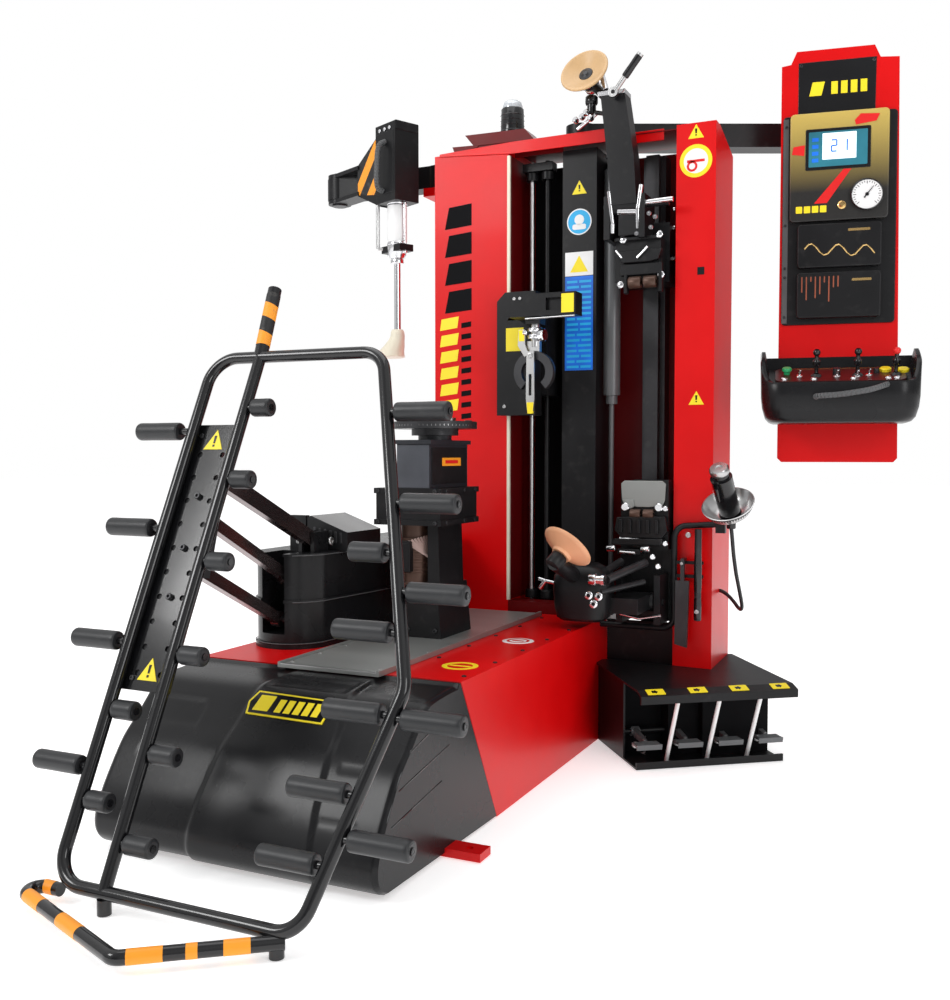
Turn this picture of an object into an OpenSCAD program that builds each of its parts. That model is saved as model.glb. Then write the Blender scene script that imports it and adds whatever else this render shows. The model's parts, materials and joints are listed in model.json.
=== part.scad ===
// Column-type tyre changer with a sliding, powered wheel table, a vertical tool carriage,
// two bead discs, a swinging press arm, a roller wheel lift, a pedal unit and a console.
// +X is the operator's right, +Y runs to the back, +Z is up. The origin is on the floor,
// at the centre of the rectangle of the four floor anchor holes.

/* [Base] */
// Half width of the welded base box
base_half = 393; // [380:1:400]
// Height of the base's top face
base_top = 398; // [390:1:402]
// Distance from the origin to the anchor holes along X
anchor_x = 445; // [440:1:460]
// Distance from the origin to the anchor holes along Y
anchor_y = 760; // [740:5:780]
// Radius of an anchor hole
anchor_r = 8.5; // [6:0.5:10]

/* [Column] */
// Height of the column above the floor
column_h = 2000; // [1990:1:2005]
// Left face of the column
column_left = -240; // [-245:1:-235]
// Right face of the column
column_right = 756; // [750:1:760]
// Front face of the column
column_front = 400; // [400:1:402]
// Rear face of the column
column_rear = 660; // [655:1:680]
// Width of the left post
left_post_w = 284; // [275:1:286]
// Width of the right post
right_post_w = 127; // [120:1:130]
// Thickness of the folded sheet
sheet_t = 4; // [3:0.5:5]

/* [Wheel table] */
// Height of the clamping face above the floor
table_top = 1045; // [1040:1:1050]
// Radius of the clamping flange
table_r = 126; // [122:1:150]
// Distance of the table's axis to the right of the origin
table_x = 46; // [42:1:50]
// Distance of the table's axis in front of the origin
table_y = -160; // [-165:1:-155]

/* [Wheel lift] */
// Lean of the roller frame, in degrees from the vertical
lift_lean = 24.6; // [24:0.1:25]
// Radius of the frame's tubes
lift_tube_r = 14.5; // [13:0.5:15]
// Radius of a roller
roller_r = 22; // [20:0.5:24]

/* [Bead discs] */
// Radius of both bead discs
disc_r = 83; // [78:1:85]

/* [Pedal unit] */
// Width of the pedal unit
pedal_w = 480; // [478:1:484]
// Spacing of the pedals
pedal_pitch = 133; // [131:1:134]

/* [Console] */
// Width of the console's panel
console_w = 362; // [350:1:370]
// Height of the console's lower edge
console_low = 922; // [910:1:930]
// Height of the console's upper edge
console_high = 2220; // [2210:1:2230]

/* [Hidden] */
$fn = 64;
fit = 0.05;                // radial running clearance of every pin and shaft
foot_top = 330;            // top of the box under the column's right bay
left_post_x = column_left + left_post_w;
right_post_x = column_right - right_post_w;

// Origin of the leaning roller frame: the axis of its bottom tube
lift_origin = [0, -1366.8, 45];

// Pivots of the wheel lift's three parallel arms, as [Y, Z] at the casing and at the frame
arm_pivots = [[-420, 700], [-459, 596], [-498, 478]];
arm_reach = [-495, 200];
arm_frame_x = -170;
arm_upper_x = -220;
arm_lower_x = -285;
arm_pin_r = 10;

// Pivot of the leaning frame in its own frame: distance behind it and up the lean
frame_pivot_drop = arm_pivots[0] + arm_reach - [lift_origin[1], lift_origin[2]];
frame_pivot = [
  frame_pivot_drop[0] * cos(lift_lean) - frame_pivot_drop[1] * sin(lift_lean),
  frame_pivot_drop[0] * sin(lift_lean) + frame_pivot_drop[1] * cos(lift_lean)
];

// Heights of the rollers up the leaning frame
rows_left_out = [242, 525, 802, 1056];
rows_left_in = [174, 372];
rows_middle = [101, 288, 507, 727, 930, 1117];
rows_right_out = [186, 425, 683, 880, 1099];
rows_right_in = [132, 269, 429, 595, 766];

// Outline of the roller frame, as [X, distance up the lean]
frame_outline = [
  [60, 0], [-240, 0], [-222, 1256], [262, 1256], [494, 483], [372, 0], [60, 0]
];
floor_outline = [
  [-226, -1366], [-300, -1366], [-276, -1412], [98, -1552], [345, -1366]
];

// Centres and axes of the two bead discs
upper_disc_at = [337, 360, 2190];
upper_disc_axis = [-0.08, -0.9, 0.43];
lower_disc_at = [400, 0, 660];
lower_disc_axis = [0.38, 0.62, 0.69];
upper_hinge = [480, 350, 1748];
lower_hinge = [560, 350, 470];

// Console: its arm's pivot, the arm's length and heading, and the panel's turn
console_pivot = [250, 560];
console_reach = 850;
console_heading = 25;
console_yaw = 9.3;
console_at = [1107, 681];
console_swivel = [
  console_pivot[0] + console_reach * cos(console_heading),
  console_pivot[1] + console_reach * sin(console_heading)
];

// Press arm: pivot on the column, elbow and press head
helper_pivot = [-300, 560];
helper_elbow = [-736, 560];
helper_head = [-393, 400];
helper_angle = atan2(helper_head[1] - helper_elbow[1], helper_head[0] - helper_elbow[0]);
helper_link_len = norm(helper_head - helper_elbow);

// Pedal unit: its front left corner on the floor and its turn
pedal_at = [575, 108];
pedal_turn = 37;
pedal_pivot = [90, 80];    // how far behind the front edge, and how high, the pedals pivot

// Height of the rod that slides the wheel table
slide_rod_z = 250;

// Guide rods of the tool carriage
rod_x = [92, 150];
rod_y = 500;
rod_r = 9;
tool_swivel = [200, 262];
lever_z = 1270;

// Route of the inflation hose, from the gun down and back to the column
hose_route = [
  [830, 330, 716], [832, 334, 690], [833, 342, 660], [834, 352, 630], [836, 362, 600],
  [838, 374, 570], [841, 388, 540], [844, 402, 510], [846, 418, 482], [845, 436, 460],
  [838, 456, 448], [826, 474, 450], [812, 490, 462], [796, 502, 476], [780, 510, 488],
  [766, 514, 495], [756, 516, 498]
];

// ---- Shared shapes ----

// Box between two opposite corners
module block(low, high) {
  translate(low) cube(high - low);
}

// Outline in Y and Z, extruded along X from x0 to x1
module side_shape(outline, x0, x1) {
  translate([x0, 0, 0]) rotate([90, 0, 90]) linear_extrude(x1 - x0) polygon(outline);
}

// Outline in X and Z, extruded along Y from y0 to y1
module front_shape(outline, y0, y1) {
  translate([0, y1, 0]) rotate([90, 0, 0]) linear_extrude(y1 - y0) polygon(outline);
}

// Round bar between two points
module bar(start, finish, r) {
  d = finish - start;
  translate(start)
    rotate([0, acos(d[2] / norm(d)), atan2(d[1], d[0])])
      cylinder(h = norm(d), r = r);
}

// Turns +Z to the given direction at the given place
module aim(place, direction) {
  d = direction / norm(direction);
  translate(place) rotate([0, acos(d[2]), atan2(d[1], d[0])]) children();
}

// Cylinder along X, centred at a place, with its ends at x0 and x1
module axle(x0, x1, y, z, r) {
  translate([x0, y, z]) rotate([0, 90, 0]) cylinder(h = x1 - x0, r = r);
}

// Signed turn in degrees from direction a to direction b, in the plane
function turn(a, b) = atan2(a[0] * b[1] - a[1] * b[0], a[0] * b[0] + a[1] * b[1]);

// Round tube along a flat path in X and Y, with every inner corner bent to bend_r. A core of a
// smaller radius joins each straight to its bends across a hairline seam.
module bent_tube(path, bend_r, r) {
  last = len(path) - 1;
  seam = 0.05;
  dirs = [for (i = [0:last - 1]) (path[i + 1] - path[i]) / norm(path[i + 1] - path[i])];
  turns = [for (i = [1:last - 1]) turn(dirs[i - 1], dirs[i])];
  cut = [for (i = [0:last]) (i == 0 || i == last) ? 0 : bend_r * tan(abs(turns[i - 1]) / 2)];
  for (i = [0:last - 1]) {
    a = path[i] + dirs[i] * (i == 0 ? 0 : cut[i] + seam);
    b = path[i + 1] - dirs[i] * (i == last - 1 ? 0 : cut[i + 1] + seam);
    core_a = a - dirs[i] * (i == 0 ? -3 : 3);
    core_b = b + dirs[i] * (i == last - 1 ? -3 : 3);
    bar([a[0], a[1], 0], [b[0], b[1], 0], r);
    bar([core_a[0], core_a[1], 0], [core_b[0], core_b[1], 0], r - 1);
  }
  for (i = [1:last - 1]) {
    start = path[i] - dirs[i - 1] * cut[i];
    side = turns[i - 1] > 0 ? 1 : -1;
    centre = start + side * bend_r * [-dirs[i - 1][1], dirs[i - 1][0]];
    first = atan2(start[1] - centre[1], start[0] - centre[0]);
    translate([centre[0], centre[1], 0])
      rotate([0, 0, side > 0 ? first : first - abs(turns[i - 1])])
        rotate_extrude(angle = abs(turns[i - 1])) translate([bend_r, 0]) circle(r);
  }
}

// Frame of the leaning roller frame: X stays, Z runs up the lean, Y points back and down
module leaning() {
  translate(lift_origin) rotate([-lift_lean, 0, 0]) children();
}

// X of the middle tube's axis at a distance up the lean
function middle_tube_x(s) = -104 + 20 * s / 1256;

// X of the right tube's axis at a distance up the lean
function right_tube_x(s) = s < 483 ? 372 + 122 * s / 483 : 494 - 232 * (s - 483) / 773;

// One lift arm: an eye at the casing, an eye at the frame and a flat bar between them
module lift_bar(i, casing_x, tall, wide) {
  a = [casing_x, arm_pivots[i][0], arm_pivots[i][1]];
  b = [arm_frame_x, a[1] + arm_reach[0], a[2] + arm_reach[1]];
  length = norm(b - a);
  flat = norm([b[0] - a[0], b[1] - a[1]]);
  difference() {
    union() {
      axle(a[0] - 12, a[0] + 12, a[1], a[2], 22);
      axle(b[0] - 12, b[0] + 12, b[1], b[2], 22);
      translate(a)
        rotate([0, 0, atan2(b[1] - a[1], b[0] - a[0])])
          rotate([0, -atan2(b[2] - a[2], flat), 0])
            block([14, -wide / 2, -tall / 2], [length - 14, wide / 2, tall / 2]);
    }
    axle(a[0] - 40, a[0] + 40, a[1], a[2], arm_pin_r + fit);
    axle(b[0] - 40, b[0] + 40, b[1], b[2], arm_pin_r + fit);
  }
}

// Place of one lift arm's frame end
function arm_end(i) = arm_pivots[i] + arm_reach;

// Dished bead disc with its bore along its own +Z axis
module bead_disc(bore_r) {
  rotate_extrude() polygon([
    [bore_r, -22], [30, -22], [34, -10], [disc_r - 8, 8], [disc_r, 14], [disc_r, 20],
    [disc_r - 6, 22], [36, 6], [28, 2], [bore_r, 2]
  ]);
}

// Places children in the pedal unit's own turned frame
module pedal_frame() {
  translate([pedal_at[0], pedal_at[1], 0]) rotate([0, 0, pedal_turn]) children();
}

// Places children in the console panel's frame, front face at Y = 0
module console_frame() {
  translate([console_at[0], console_at[1], 0]) rotate([0, 0, console_yaw]) children();
}

// Outline of the console's tray seen from above, as a rounded bar
module tray_outline(half, depth, corner) {
  translate([-half + corner, -depth + corner]) circle(corner);
  translate([half - corner, -depth + corner]) circle(corner);
  translate([-half + corner, -depth]) square([2 * (half - corner), depth]);
  translate([-half, -depth + corner]) square([2 * half, depth - corner]);
}

// ---- Base and column ----

module base_frame() {
  color("red") {
    difference() {
      side_shape(
        [[-484, 0], [-700, base_top], [column_rear, base_top], [column_rear, 0]],
        -base_half, base_half
      );
      side_shape(
        [[-474, -1], [-688, base_top - 8], [column_rear - 8, base_top - 8], [column_rear - 8, -1]],
        -base_half + 6, base_half - 6
      );
      block([table_x - 60, -600, base_top - 20], [table_x + 60, 200, base_top + 1]);
    }
    // Floor bars with the four anchor holes
    for (y = [-anchor_y, anchor_y])
      difference() {
        block([-anchor_x - 40, y - 30, 0], [anchor_x + 40, y + 30, 20]);
        for (side = [-1, 1])
          translate([side * anchor_x, y, -1]) cylinder(h = 30, r = anchor_r);
      }
    for (side = [-1, 1]) {
      block([side * 300 - 30, -anchor_y + 30, 0], [side * 300 + 30, -478, 12]);
      block([side * 300 - 30, column_rear - 1, 0], [side * 300 + 30, anchor_y - 30, 12]);
    }
  }
}

module front_cover() {
  color([0.12, 0.12, 0.13])
    difference() {
      side_shape(
        [[-486, 2], [-702, base_top], [-864, 389], [-905, 362], [-959, 309], [-1014, 258],
         [-1071, 177], [-1100, 123], [-1116, 80], [-1112, 40], [-1090, 12], [-1062, 2]],
        -base_half, base_half
      );
      side_shape(
        [[-480, 1], [-696, base_top - 8], [-860, 383], [-901, 357], [-955, 304], [-1009, 254],
         [-1066, 174], [-1095, 120], [-1110, 79], [-1106, 43], [-1086, 17], [-1060, 1]],
        -base_half + 5, base_half - 5
      );
      // Notches that clear the floor bar
      block([-base_half - 1, -anchor_y - 34, -1], [base_half + 1, -anchor_y + 34, 26]);
    }
}

module left_post() {
  color("red")
    difference() {
      block([column_left, column_front, base_top], [left_post_x, column_rear, column_h]);
      block([column_left + sheet_t, column_front + sheet_t, base_top - 1],
            [left_post_x - sheet_t, column_rear + 1, column_h - sheet_t]);
    }
  // Bracket and pivot pin of the press arm
  color([0.12, 0.13, 0.14]) {
    block([-346, helper_pivot[1] - 46, 1896], [column_left, helper_pivot[1] + 46, 1926.5]);
    translate([helper_pivot[0], helper_pivot[1], 1900]) {
      cylinder(h = 114, r = 18);
      translate([0, 0, 107.5]) cylinder(h = 7, r = 26);
    }
  }
}

module right_post() {
  color("red")
    difference() {
      side_shape(
        [[column_front, 0], [column_front, column_h], [column_front + 60, column_h],
         [column_rear, column_h - 50], [column_rear, 0]],
        right_post_x, column_right
      );
      side_shape(
        [[column_front + sheet_t, -1], [column_front + sheet_t, column_h - sheet_t],
         [column_front + 59, column_h - sheet_t], [column_rear + 1, column_h - 54],
         [column_rear + 1, -1]],
        right_post_x + sheet_t, column_right - sheet_t
      );
    }
  // Black foot box between the base and the post
  color([0.12, 0.12, 0.12])
    difference() {
      block([base_half, column_front + 40, 0], [right_post_x, column_rear, foot_top]);
      block([base_half + 6, column_front + 46, -1], [right_post_x + 1, column_rear - 6, foot_top - 6]);
    }
}

module column_back() {
  color("darkred") {
    block([left_post_x, column_rear - 8, base_top], [right_post_x, column_rear, column_h - 20]);
    block([left_post_x, column_front, base_top], [222, 470, base_top + 39]);
    block([-100, 455, column_h], [574, 500, column_h + 4]);
    block([left_post_x, 455, column_h - 22], [222, 461, column_h]);
    block([left_post_x, 446, column_h], [right_post_x + 4, column_rear, column_h + 3]);
    // Pivot pin of the console's arm
    translate([console_pivot[0], console_pivot[1], column_h]) {
      cylinder(h = 88, r = 20);
      translate([0, 0, 86.5]) cylinder(h = 6, r = 30);
    }
  }
}

module mast_strip() {
  color([0.1, 0.1, 0.1])
    difference() {
      block([224, 450, base_top], [345, column_rear - 9, column_h - 22]);
      block([229, 455, base_top - 1], [340, column_rear - 8, column_h - 21]);
    }
}

module guide_rods() {
  color("silver")
    for (x = rod_x)
      translate([x, rod_y, 437 - 39]) cylinder(h = column_h - 437, r = rod_r);
}

module disc_rail() {
  color([0.25, 0.26, 0.27]) {
    block([468, 590, foot_top], [545, column_rear - 8.5, 1960]);
    block([484, 560, foot_top], [529, 590, 1960]);
  }
}

module lift_cylinder() {
  color([0.5, 0.52, 0.52]) {
    translate([379, 520, 1150]) cylinder(h = 763, r = 29);
    translate([379, 520, 1913]) cylinder(h = 40, r = 18);
    translate([379, 520, 1120]) cylinder(h = 30, r = 20);
    translate([379, 520, base_top]) cylinder(h = 1120 - base_top, r = 9);
    block([356, 480, base_top], [402, 560, base_top + 12]);
    block([356, 560, 1920], [402, column_rear - 8.5, 1953]);
    block([356, 500, 1953], [402, column_rear - 8.5, 1960]);
  }
}

module beacon_bracket() {
  color([0.35, 0.05, 0.06]) {
    front_shape(
      [[-235, column_h + 0.5], [-205, column_h + 74], [62, column_h + 74], [100, column_h + 4.5],
       [94, column_h + 4.5], [57, column_h + 68], [-200, column_h + 68], [-229, column_h + 0.5]],
      450, 560
    );
    block([-229, 450, column_h], [-180, 560, column_h + 5]);
  }
}

module beacon() {
  color([0.1, 0.1, 0.11])
    translate([14, 505, column_h + 74]) {
      cylinder(h = 12, r = 46);
      cylinder(h = 88, r = 41);
      translate([0, 0, 88])
        rotate_extrude() polygon([[0, 0], [36, 0], [36, 12], [31, 22], [20, 29], [0, 32]]);
    }
}

// ---- Wheel lift ----

// Plan of the casing: a round nose and a straight right side
module casing_plan(grow) {
  translate([-278, -420]) circle(115 + grow);
  polygon([[-393 - grow, -420], [-393 - grow, 360], [-125 + grow, 360], [-125 + grow, -60],
           [-163 + grow, -420]]);
}

module lift_casing() {
  color([0.1, 0.1, 0.11])
    difference() {
      union() {
        translate([0, 0, base_top]) linear_extrude(12) casing_plan(0);
        translate([0, 0, base_top + 12]) linear_extrude(118) casing_plan(-6);
        translate([0, 0, base_top + 130]) linear_extrude(10) casing_plan(0);
        translate([0, 0, base_top + 140]) linear_extrude(122) casing_plan(-6);
        translate([0, 0, base_top + 262]) linear_extrude(8) casing_plan(0);
        // Clevis of the upper arm
        block([-246, -452, base_top + 262], [-234, -380, 726]);
        block([-204, -452, base_top + 262], [-192, -380, 726]);
      }
      // Slot for the two lower arms
      block([-325, -640, 440], [-245, -416, 700]);
      translate([-290, -230, base_top + 40]) cylinder(h = 180, r = 70);
    }
  color("silver") {
    axle(-252, -188, arm_pivots[0][0], arm_pivots[0][1], arm_pin_r);
    axle(-330, -240, arm_pivots[1][0], arm_pivots[1][1], arm_pin_r);
    axle(-330, -240, arm_pivots[2][0], arm_pivots[2][1], arm_pin_r);
  }
}

module lift_motor() {
  color([0.09, 0.09, 0.1]) {
    difference() {
      front_shape([[-270, 668], [-270, 762], [-258, 768], [-132, 722], [-132, 668]], -370, -180);
      front_shape([[-264, 660], [-264, 756], [-138, 712], [-138, 660]], -364, -186);
    }
    block([-330, -372, 668], [-274, -352, 768]);
    block([-330, -352, 668], [-274, -300, 674]);
  }
}

module lift_arm_upper() {
  color([0.16, 0.14, 0.14]) lift_bar(0, arm_upper_x, 44, 22);
}

module lift_arm_middle() {
  color([0.16, 0.14, 0.14]) lift_bar(1, arm_lower_x, 32, 20);
}

module lift_arm_lower() {
  color([0.16, 0.14, 0.14]) lift_bar(2, arm_lower_x, 32, 20);
}

module lift_bracket() {
  ends = [for (i = [0:2]) arm_end(i)];
  plate = [
    ends[0] + [-22, 26], ends[0] + [24, 20], ends[2] + [24, -26], ends[2] + [-22, -20]
  ];
  color([0.14, 0.14, 0.15]) {
    for (x = [-212, -154]) side_shape(plate, x, x + 8);
    for (e = ends) axle(e == ends[0] ? -230 : -216, e == ends[0] ? -128 : -142, e[0], e[1], arm_pin_r);
  }
}

module lift_frame() {
  color([0.09, 0.09, 0.1]) {
    leaning() {
      rotate([90, 0, 0]) bent_tube(frame_outline, 70, lift_tube_r);
      bar([-104, 0, 0], [-84, 0, 1256], lift_tube_r);
      bar([-84, 0, 1256], [-97, 0, 1450], 17);
      // Roller axles
      for (s = rows_left_out) bar([-395, 0, s], [-238, 0, s], 8);
      for (s = rows_left_in) bar([-236, 0, s], [-152, 0, s], 8);
      for (s = rows_middle) bar([-96, 0, s], [-8, 0, s], 8);
      for (s = rows_right_out)
        bar([right_tube_x(s), 0, s], [right_tube_x(s) + 160, 0, s], 8);
      for (s = rows_right_in)
        bar([right_tube_x(s), 0, s], [right_tube_x(s) - (s > 700 ? 112 : 160), 0, s], 8);
    }
  }
}

module lift_plate() {
  color([0.2, 0.21, 0.22])
    leaning()
      difference() {
        union() {
          block([-236, 15, 420], [-92, 19, 1080]);
          // Ears that hang the frame on the upper pivot pin
          for (x = [-226, -142])
            side_shape([[19, 905], [50, 940], [76, 956], [76, 976], [50, 994], [19, 1030]], x, x + 8);
        }
        for (s = [460:60:1040], x = [-196, -130])
          translate([x, 10, s]) rotate([-90, 0, 0]) cylinder(h = 9.5, r = 7);
        axle(-240, -120, frame_pivot[0], frame_pivot[1], arm_pin_r + fit);
      }
}

module floor_loop() {
  color("orange")
    translate([0, 0, 30]) bent_tube(floor_outline, 24, lift_tube_r);
  color([0.1, 0.1, 0.1]) {
    for (p = [[-104, -1366.8], [330, -1372]])
      translate([p[0], p[1], 0]) cylinder(h = 33, r = 15);
  }
}

module roller(x0, x1, s) {
  leaning()
    difference() {
      union() {
        bar([x0, 0, s], [x1, 0, s], roller_r - 2);
        bar([x0 + 3, 0, s], [x1 - 3, 0, s], roller_r);
      }
      bar([x0 - 1, 0, s], [x1 + 1, 0, s], 8.05);
    }
}

module rollers() {
  color([0.3, 0.31, 0.32]) {
    for (s = rows_left_out) roller(-392, -262, s);
    for (s = rows_left_in) roller(-214, -154, s);
    for (s = rows_middle) roller(middle_tube_x(s) + 23, -10, s);
    for (s = rows_right_out) roller(right_tube_x(s) + 24, right_tube_x(s) + 158, s);
    for (s = rows_right_in)
      roller(right_tube_x(s) - (s > 700 ? 110 : 158), right_tube_x(s) - 24, s);
  }
}

// ---- Sliding wheel table ----

module slide_cylinder() {
  color([0.55, 0.56, 0.56]) {
    difference() {
      translate([table_x, 560, slide_rod_z]) rotate([90, 0, 0]) cylinder(h = 500, r = 34);
      translate([table_x, 548, slide_rod_z]) rotate([90, 0, 0]) cylinder(h = 470, r = 28);
      translate([table_x, 100, slide_rod_z]) rotate([90, 0, 0]) cylinder(h = 60, r = 11 + fit);
    }
    for (y = [230, 520])
      block([table_x - 30, y, slide_rod_z + 31], [table_x + 30, y + 20, base_top - 8]);
  }
}

module slide_plate() {
  color([0.72, 0.73, 0.72]) {
    block([-115, -740, base_top + 1], [187, 360, base_top + 9]);
    block([-115, -740, base_top + 9], [-107, 360, base_top + 15]);
    block([179, -740, base_top + 9], [187, 360, base_top + 15]);
    // Tab through the base's slot, and the cylinder's rod behind it
    block([table_x - 40, -270, slide_rod_z - 25], [table_x + 40, -60, base_top + 1]);
    translate([table_x, -60, slide_rod_z]) rotate([-90, 0, 0]) cylinder(h = 470, r = 11);
  }
}

module tower() {
  color([0.11, 0.11, 0.12]) {
    front_shape(
      [[-24, base_top + 9], [106, base_top + 9], [100, 470], [92, 560], [-6, 560], [-18, 470]],
      -240, -36
    );
    front_shape([[52, 560], [92, 560], [86, 742], [52, 742]], -220, -60);
    block([-90, -290, 742], [131, -32, 758]);
    block([-85, -285, 758], [126, -37, 834]);
    block([-90, -290, 834], [131, -32, 850]);
    translate([-74, -200, 734]) cylinder(h = 112, r = 13);
  }
}

module gearbox() {
  color([0.33, 0.34, 0.36]) {
    block([-12, -290, 850], [96, -40, 978]);
    block([-20, -298, 978], [104, -32, 990]);
    translate([table_x, table_y, 990])
      difference() {
        cylinder(h = 14, r = 50);
        translate([0, 0, -1]) cylinder(h = 30, r = 30 + fit);
      }
  }
}

module drive_motor() {
  color([0.45, 0.34, 0.28])
    translate([-12, -176, 560]) {
      cylinder(h = 8, r = 54);
      translate([0, 0, 8]) cylinder(h = 18, r = 48);
      translate([0, 0, 26]) cylinder(h = 100, r = 52);
      translate([0, 0, 126]) cylinder(h = 14, r = 54);
      translate([0, 0, 140]) cylinder(h = 42, r = 44);
    }
}

module turntable() {
  color([0.12, 0.12, 0.13])
    translate([table_x, table_y, 0])
      difference() {
        union() {
          translate([0, 0, 991]) cylinder(h = 20, r = 30);
          translate([0, 0, 1004.4]) cylinder(h = 20, r = 70);
          translate([0, 0, 1024]) cylinder(h = table_top - 1024, r = table_r);
        }
        translate([0, 0, 990]) cylinder(h = 80, r = 18);
        for (a = [0:90:270])
          rotate([0, 0, a + 45]) translate([105, 0, 1020]) cylinder(h = 40, r = 9);
      }
}

module clamp_spindle() {
  color("silver")
    translate([table_x, table_y, 0]) {
      translate([0, 0, 992]) cylinder(h = 66, r = 18);
      translate([0, 0, table_top]) cylinder(h = 6, r = 40);
      for (a = [0:120:240])
        rotate([0, 0, a]) block([30, -12, table_top], [64, 12, table_top + 12]);
    }
}

// ---- Tool carriage ----

module tool_carriage() {
  color([0.17, 0.17, 0.18])
    difference() {
      union() {
        front_shape(
          [[32, 1080], [172, 1080], [172, 1495], [62, 1495], [32, 1465]], 330, 390
        );
        block([52, 390, 1150], [190, 530, 1420]);
      }
      for (x = rod_x)
        translate([x, rod_y, 1100]) cylinder(h = 400, r = rod_r + fit);
      block([108, 440, 1210], [134, 560, 1360]);
    }
}

module tool_arm() {
  color([0.15, 0.15, 0.16])
    difference() {
      union() {
        block([120, 290, 1395], [172, 330, 1468]);
        block([120, 225, 1395], [351, 290, 1468]);
        block([175, 236, 1372], [225, 288, 1395]);
      }
      translate([tool_swivel[0], tool_swivel[1], 1360]) cylinder(h = 60, r = 14 + fit);
      block([250, 220, 1412], [330, 240, 1452]);
    }
}

module mount_hook() {
  color("silver") {
    translate([tool_swivel[0], tool_swivel[1], 0]) {
      translate([0, 0, 1300]) cylinder(h = 118, r = 14);
      translate([0, 0, 1318]) cylinder(h = 36, r = 24);
      translate([0, 0, 1355]) cylinder(h = 14, r = 19);
    }
    translate([tool_swivel[0] - 26, tool_swivel[1] - 10, 1282]) cube([44, 20, 36]);
    // Pivot pin of the lever
    translate([192, tool_swivel[1] - 10, lever_z]) rotate([90, 0, 0]) cylinder(h = 18, r = 5);
  }
  color([0.14, 0.14, 0.15])
    translate([tool_swivel[0] - 3, tool_swivel[1], 1217])
      rotate([90, 0, 0])
        translate([0, 0, -11])
          difference() {
            cylinder(h = 22, r = 70);
            translate([0, 0, -1]) cylinder(h = 24, r = 42);
            rotate([0, 0, 235]) translate([0, -16, -1]) cube([90, 60, 24]);
          }
}

module tool_lever() {
  color([0.55, 0.56, 0.55])
    difference() {
      translate([192, 243, 0])
        rotate([90, 0, 0])
          linear_extrude(7)
            polygon([[-13, 1284], [13, 1284], [15, 1130], [9, 1082], [-9, 1082], [-15, 1130]]);
      translate([192, 250, lever_z]) rotate([90, 0, 0]) cylinder(h = 30, r = 5 + fit);
      block([187, 230, 1140], [197, 250, 1210]);
    }
}

// ---- Bead disc carriages ----

module upper_carriage() {
  color([0.13, 0.13, 0.14]) {
    block([428, 420, 1508], [604, 548, 1700]);
    block([440, 360, 1508], [592, 420, 1640]);
    block([428, 548, 1540], [466, 610, 1680]);
    block([547, 548, 1540], [604, 610, 1680]);
    block([412, 322, 1640], [432, 440, 1778]);
    block([528, 322, 1640], [548, 440, 1778]);
    axle(405, 620, upper_hinge[1], upper_hinge[2], 11);
  }
}

module upper_arm() {
  color([0.19, 0.19, 0.2])
    difference() {
      union() {
        axle(436, 524, upper_hinge[1], upper_hinge[2], 30);
        front_shape(
          [[438, 1748], [522, 1748], [512, 1900], [480, 2107], [400, 2107], [424, 1900]],
          upper_hinge[1] - 33, upper_hinge[1] + 33
        );
        bar([445, 350, 2070], [341, 400, 2171], 15);
        translate([452, 318, 2096]) rotate([90, 0, 0]) cylinder(h = 34, r = 6);
        aim(upper_disc_at, upper_disc_axis) {
          translate([0, 0, -66]) cylinder(h = 42, r = 26);
          translate([0, 0, -40]) cylinder(h = 44, r = 10);
        }
      }
      axle(400, 560, upper_hinge[1], upper_hinge[2], 11 + fit);
    }
}

module upper_disc() {
  color("burlywood") aim(upper_disc_at, upper_disc_axis) bead_disc(10 + fit);
}

module release_lever() {
  color([0.6, 0.61, 0.61])
    difference() {
      union() {
        translate([452, 300, 2096]) rotate([90, 0, 0]) cylinder(h = 14, r = 16);
        aim([458, 293, 2100], [0.62, 0, 0.78]) cylinder(h = 130, r = 8);
        aim([458, 293, 2100], [0.62, 0, 0.78])
          translate([0, 0, 50]) cylinder(h = 82, r = 11);
      }
      translate([452, 310, 2096]) rotate([90, 0, 0]) cylinder(h = 40, r = 6 + fit);
    }
}

module lower_carriage() {
  color([0.12, 0.12, 0.13]) {
    block([446, 420, 400], [620, 548, 830]);
    block([446, 548, 440], [466, 606, 790]);
    block([547, 548, 440], [600, 606, 790]);
    block([462, 318, 400], [482, 430, 560]);
    block([588, 318, 400], [608, 430, 560]);
    block([500, 372, 640], [620, 420, 865]);
    axle(456, 614, lower_hinge[1], lower_hinge[2], 11);
  }
}

module lower_arm() {
  color([0.11, 0.11, 0.12])
    difference() {
      union() {
        axle(486, 584, lower_hinge[1], lower_hinge[2], 30);
        block([496, 190, 446], [574, 350, 500]);
        block([330, 120, 424], [574, 200, 560]);
        aim(lower_disc_at, lower_disc_axis) {
          translate([0, 0, -64]) cylinder(h = 40, r = 26);
          translate([0, 0, -40]) cylinder(h = 44, r = 10);
        }
        bar([362, 145, 530], [372, -44, 612], 24);
      }
      axle(450, 620, lower_hinge[1], lower_hinge[2], 11 + fit);
    }
}

module lower_disc() {
  color("burlywood") aim(lower_disc_at, lower_disc_axis) bead_disc(10 + fit);
}

// ---- Pedals ----

// Room taken by the base box and by the foot of the right post
module post_room() {
  block([-600, -600, -1], [base_half + 0.5, 900, 400]);
  block([-600, column_front - 0.5, -1], [column_right + 0.5, 900, 400]);
}

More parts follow.
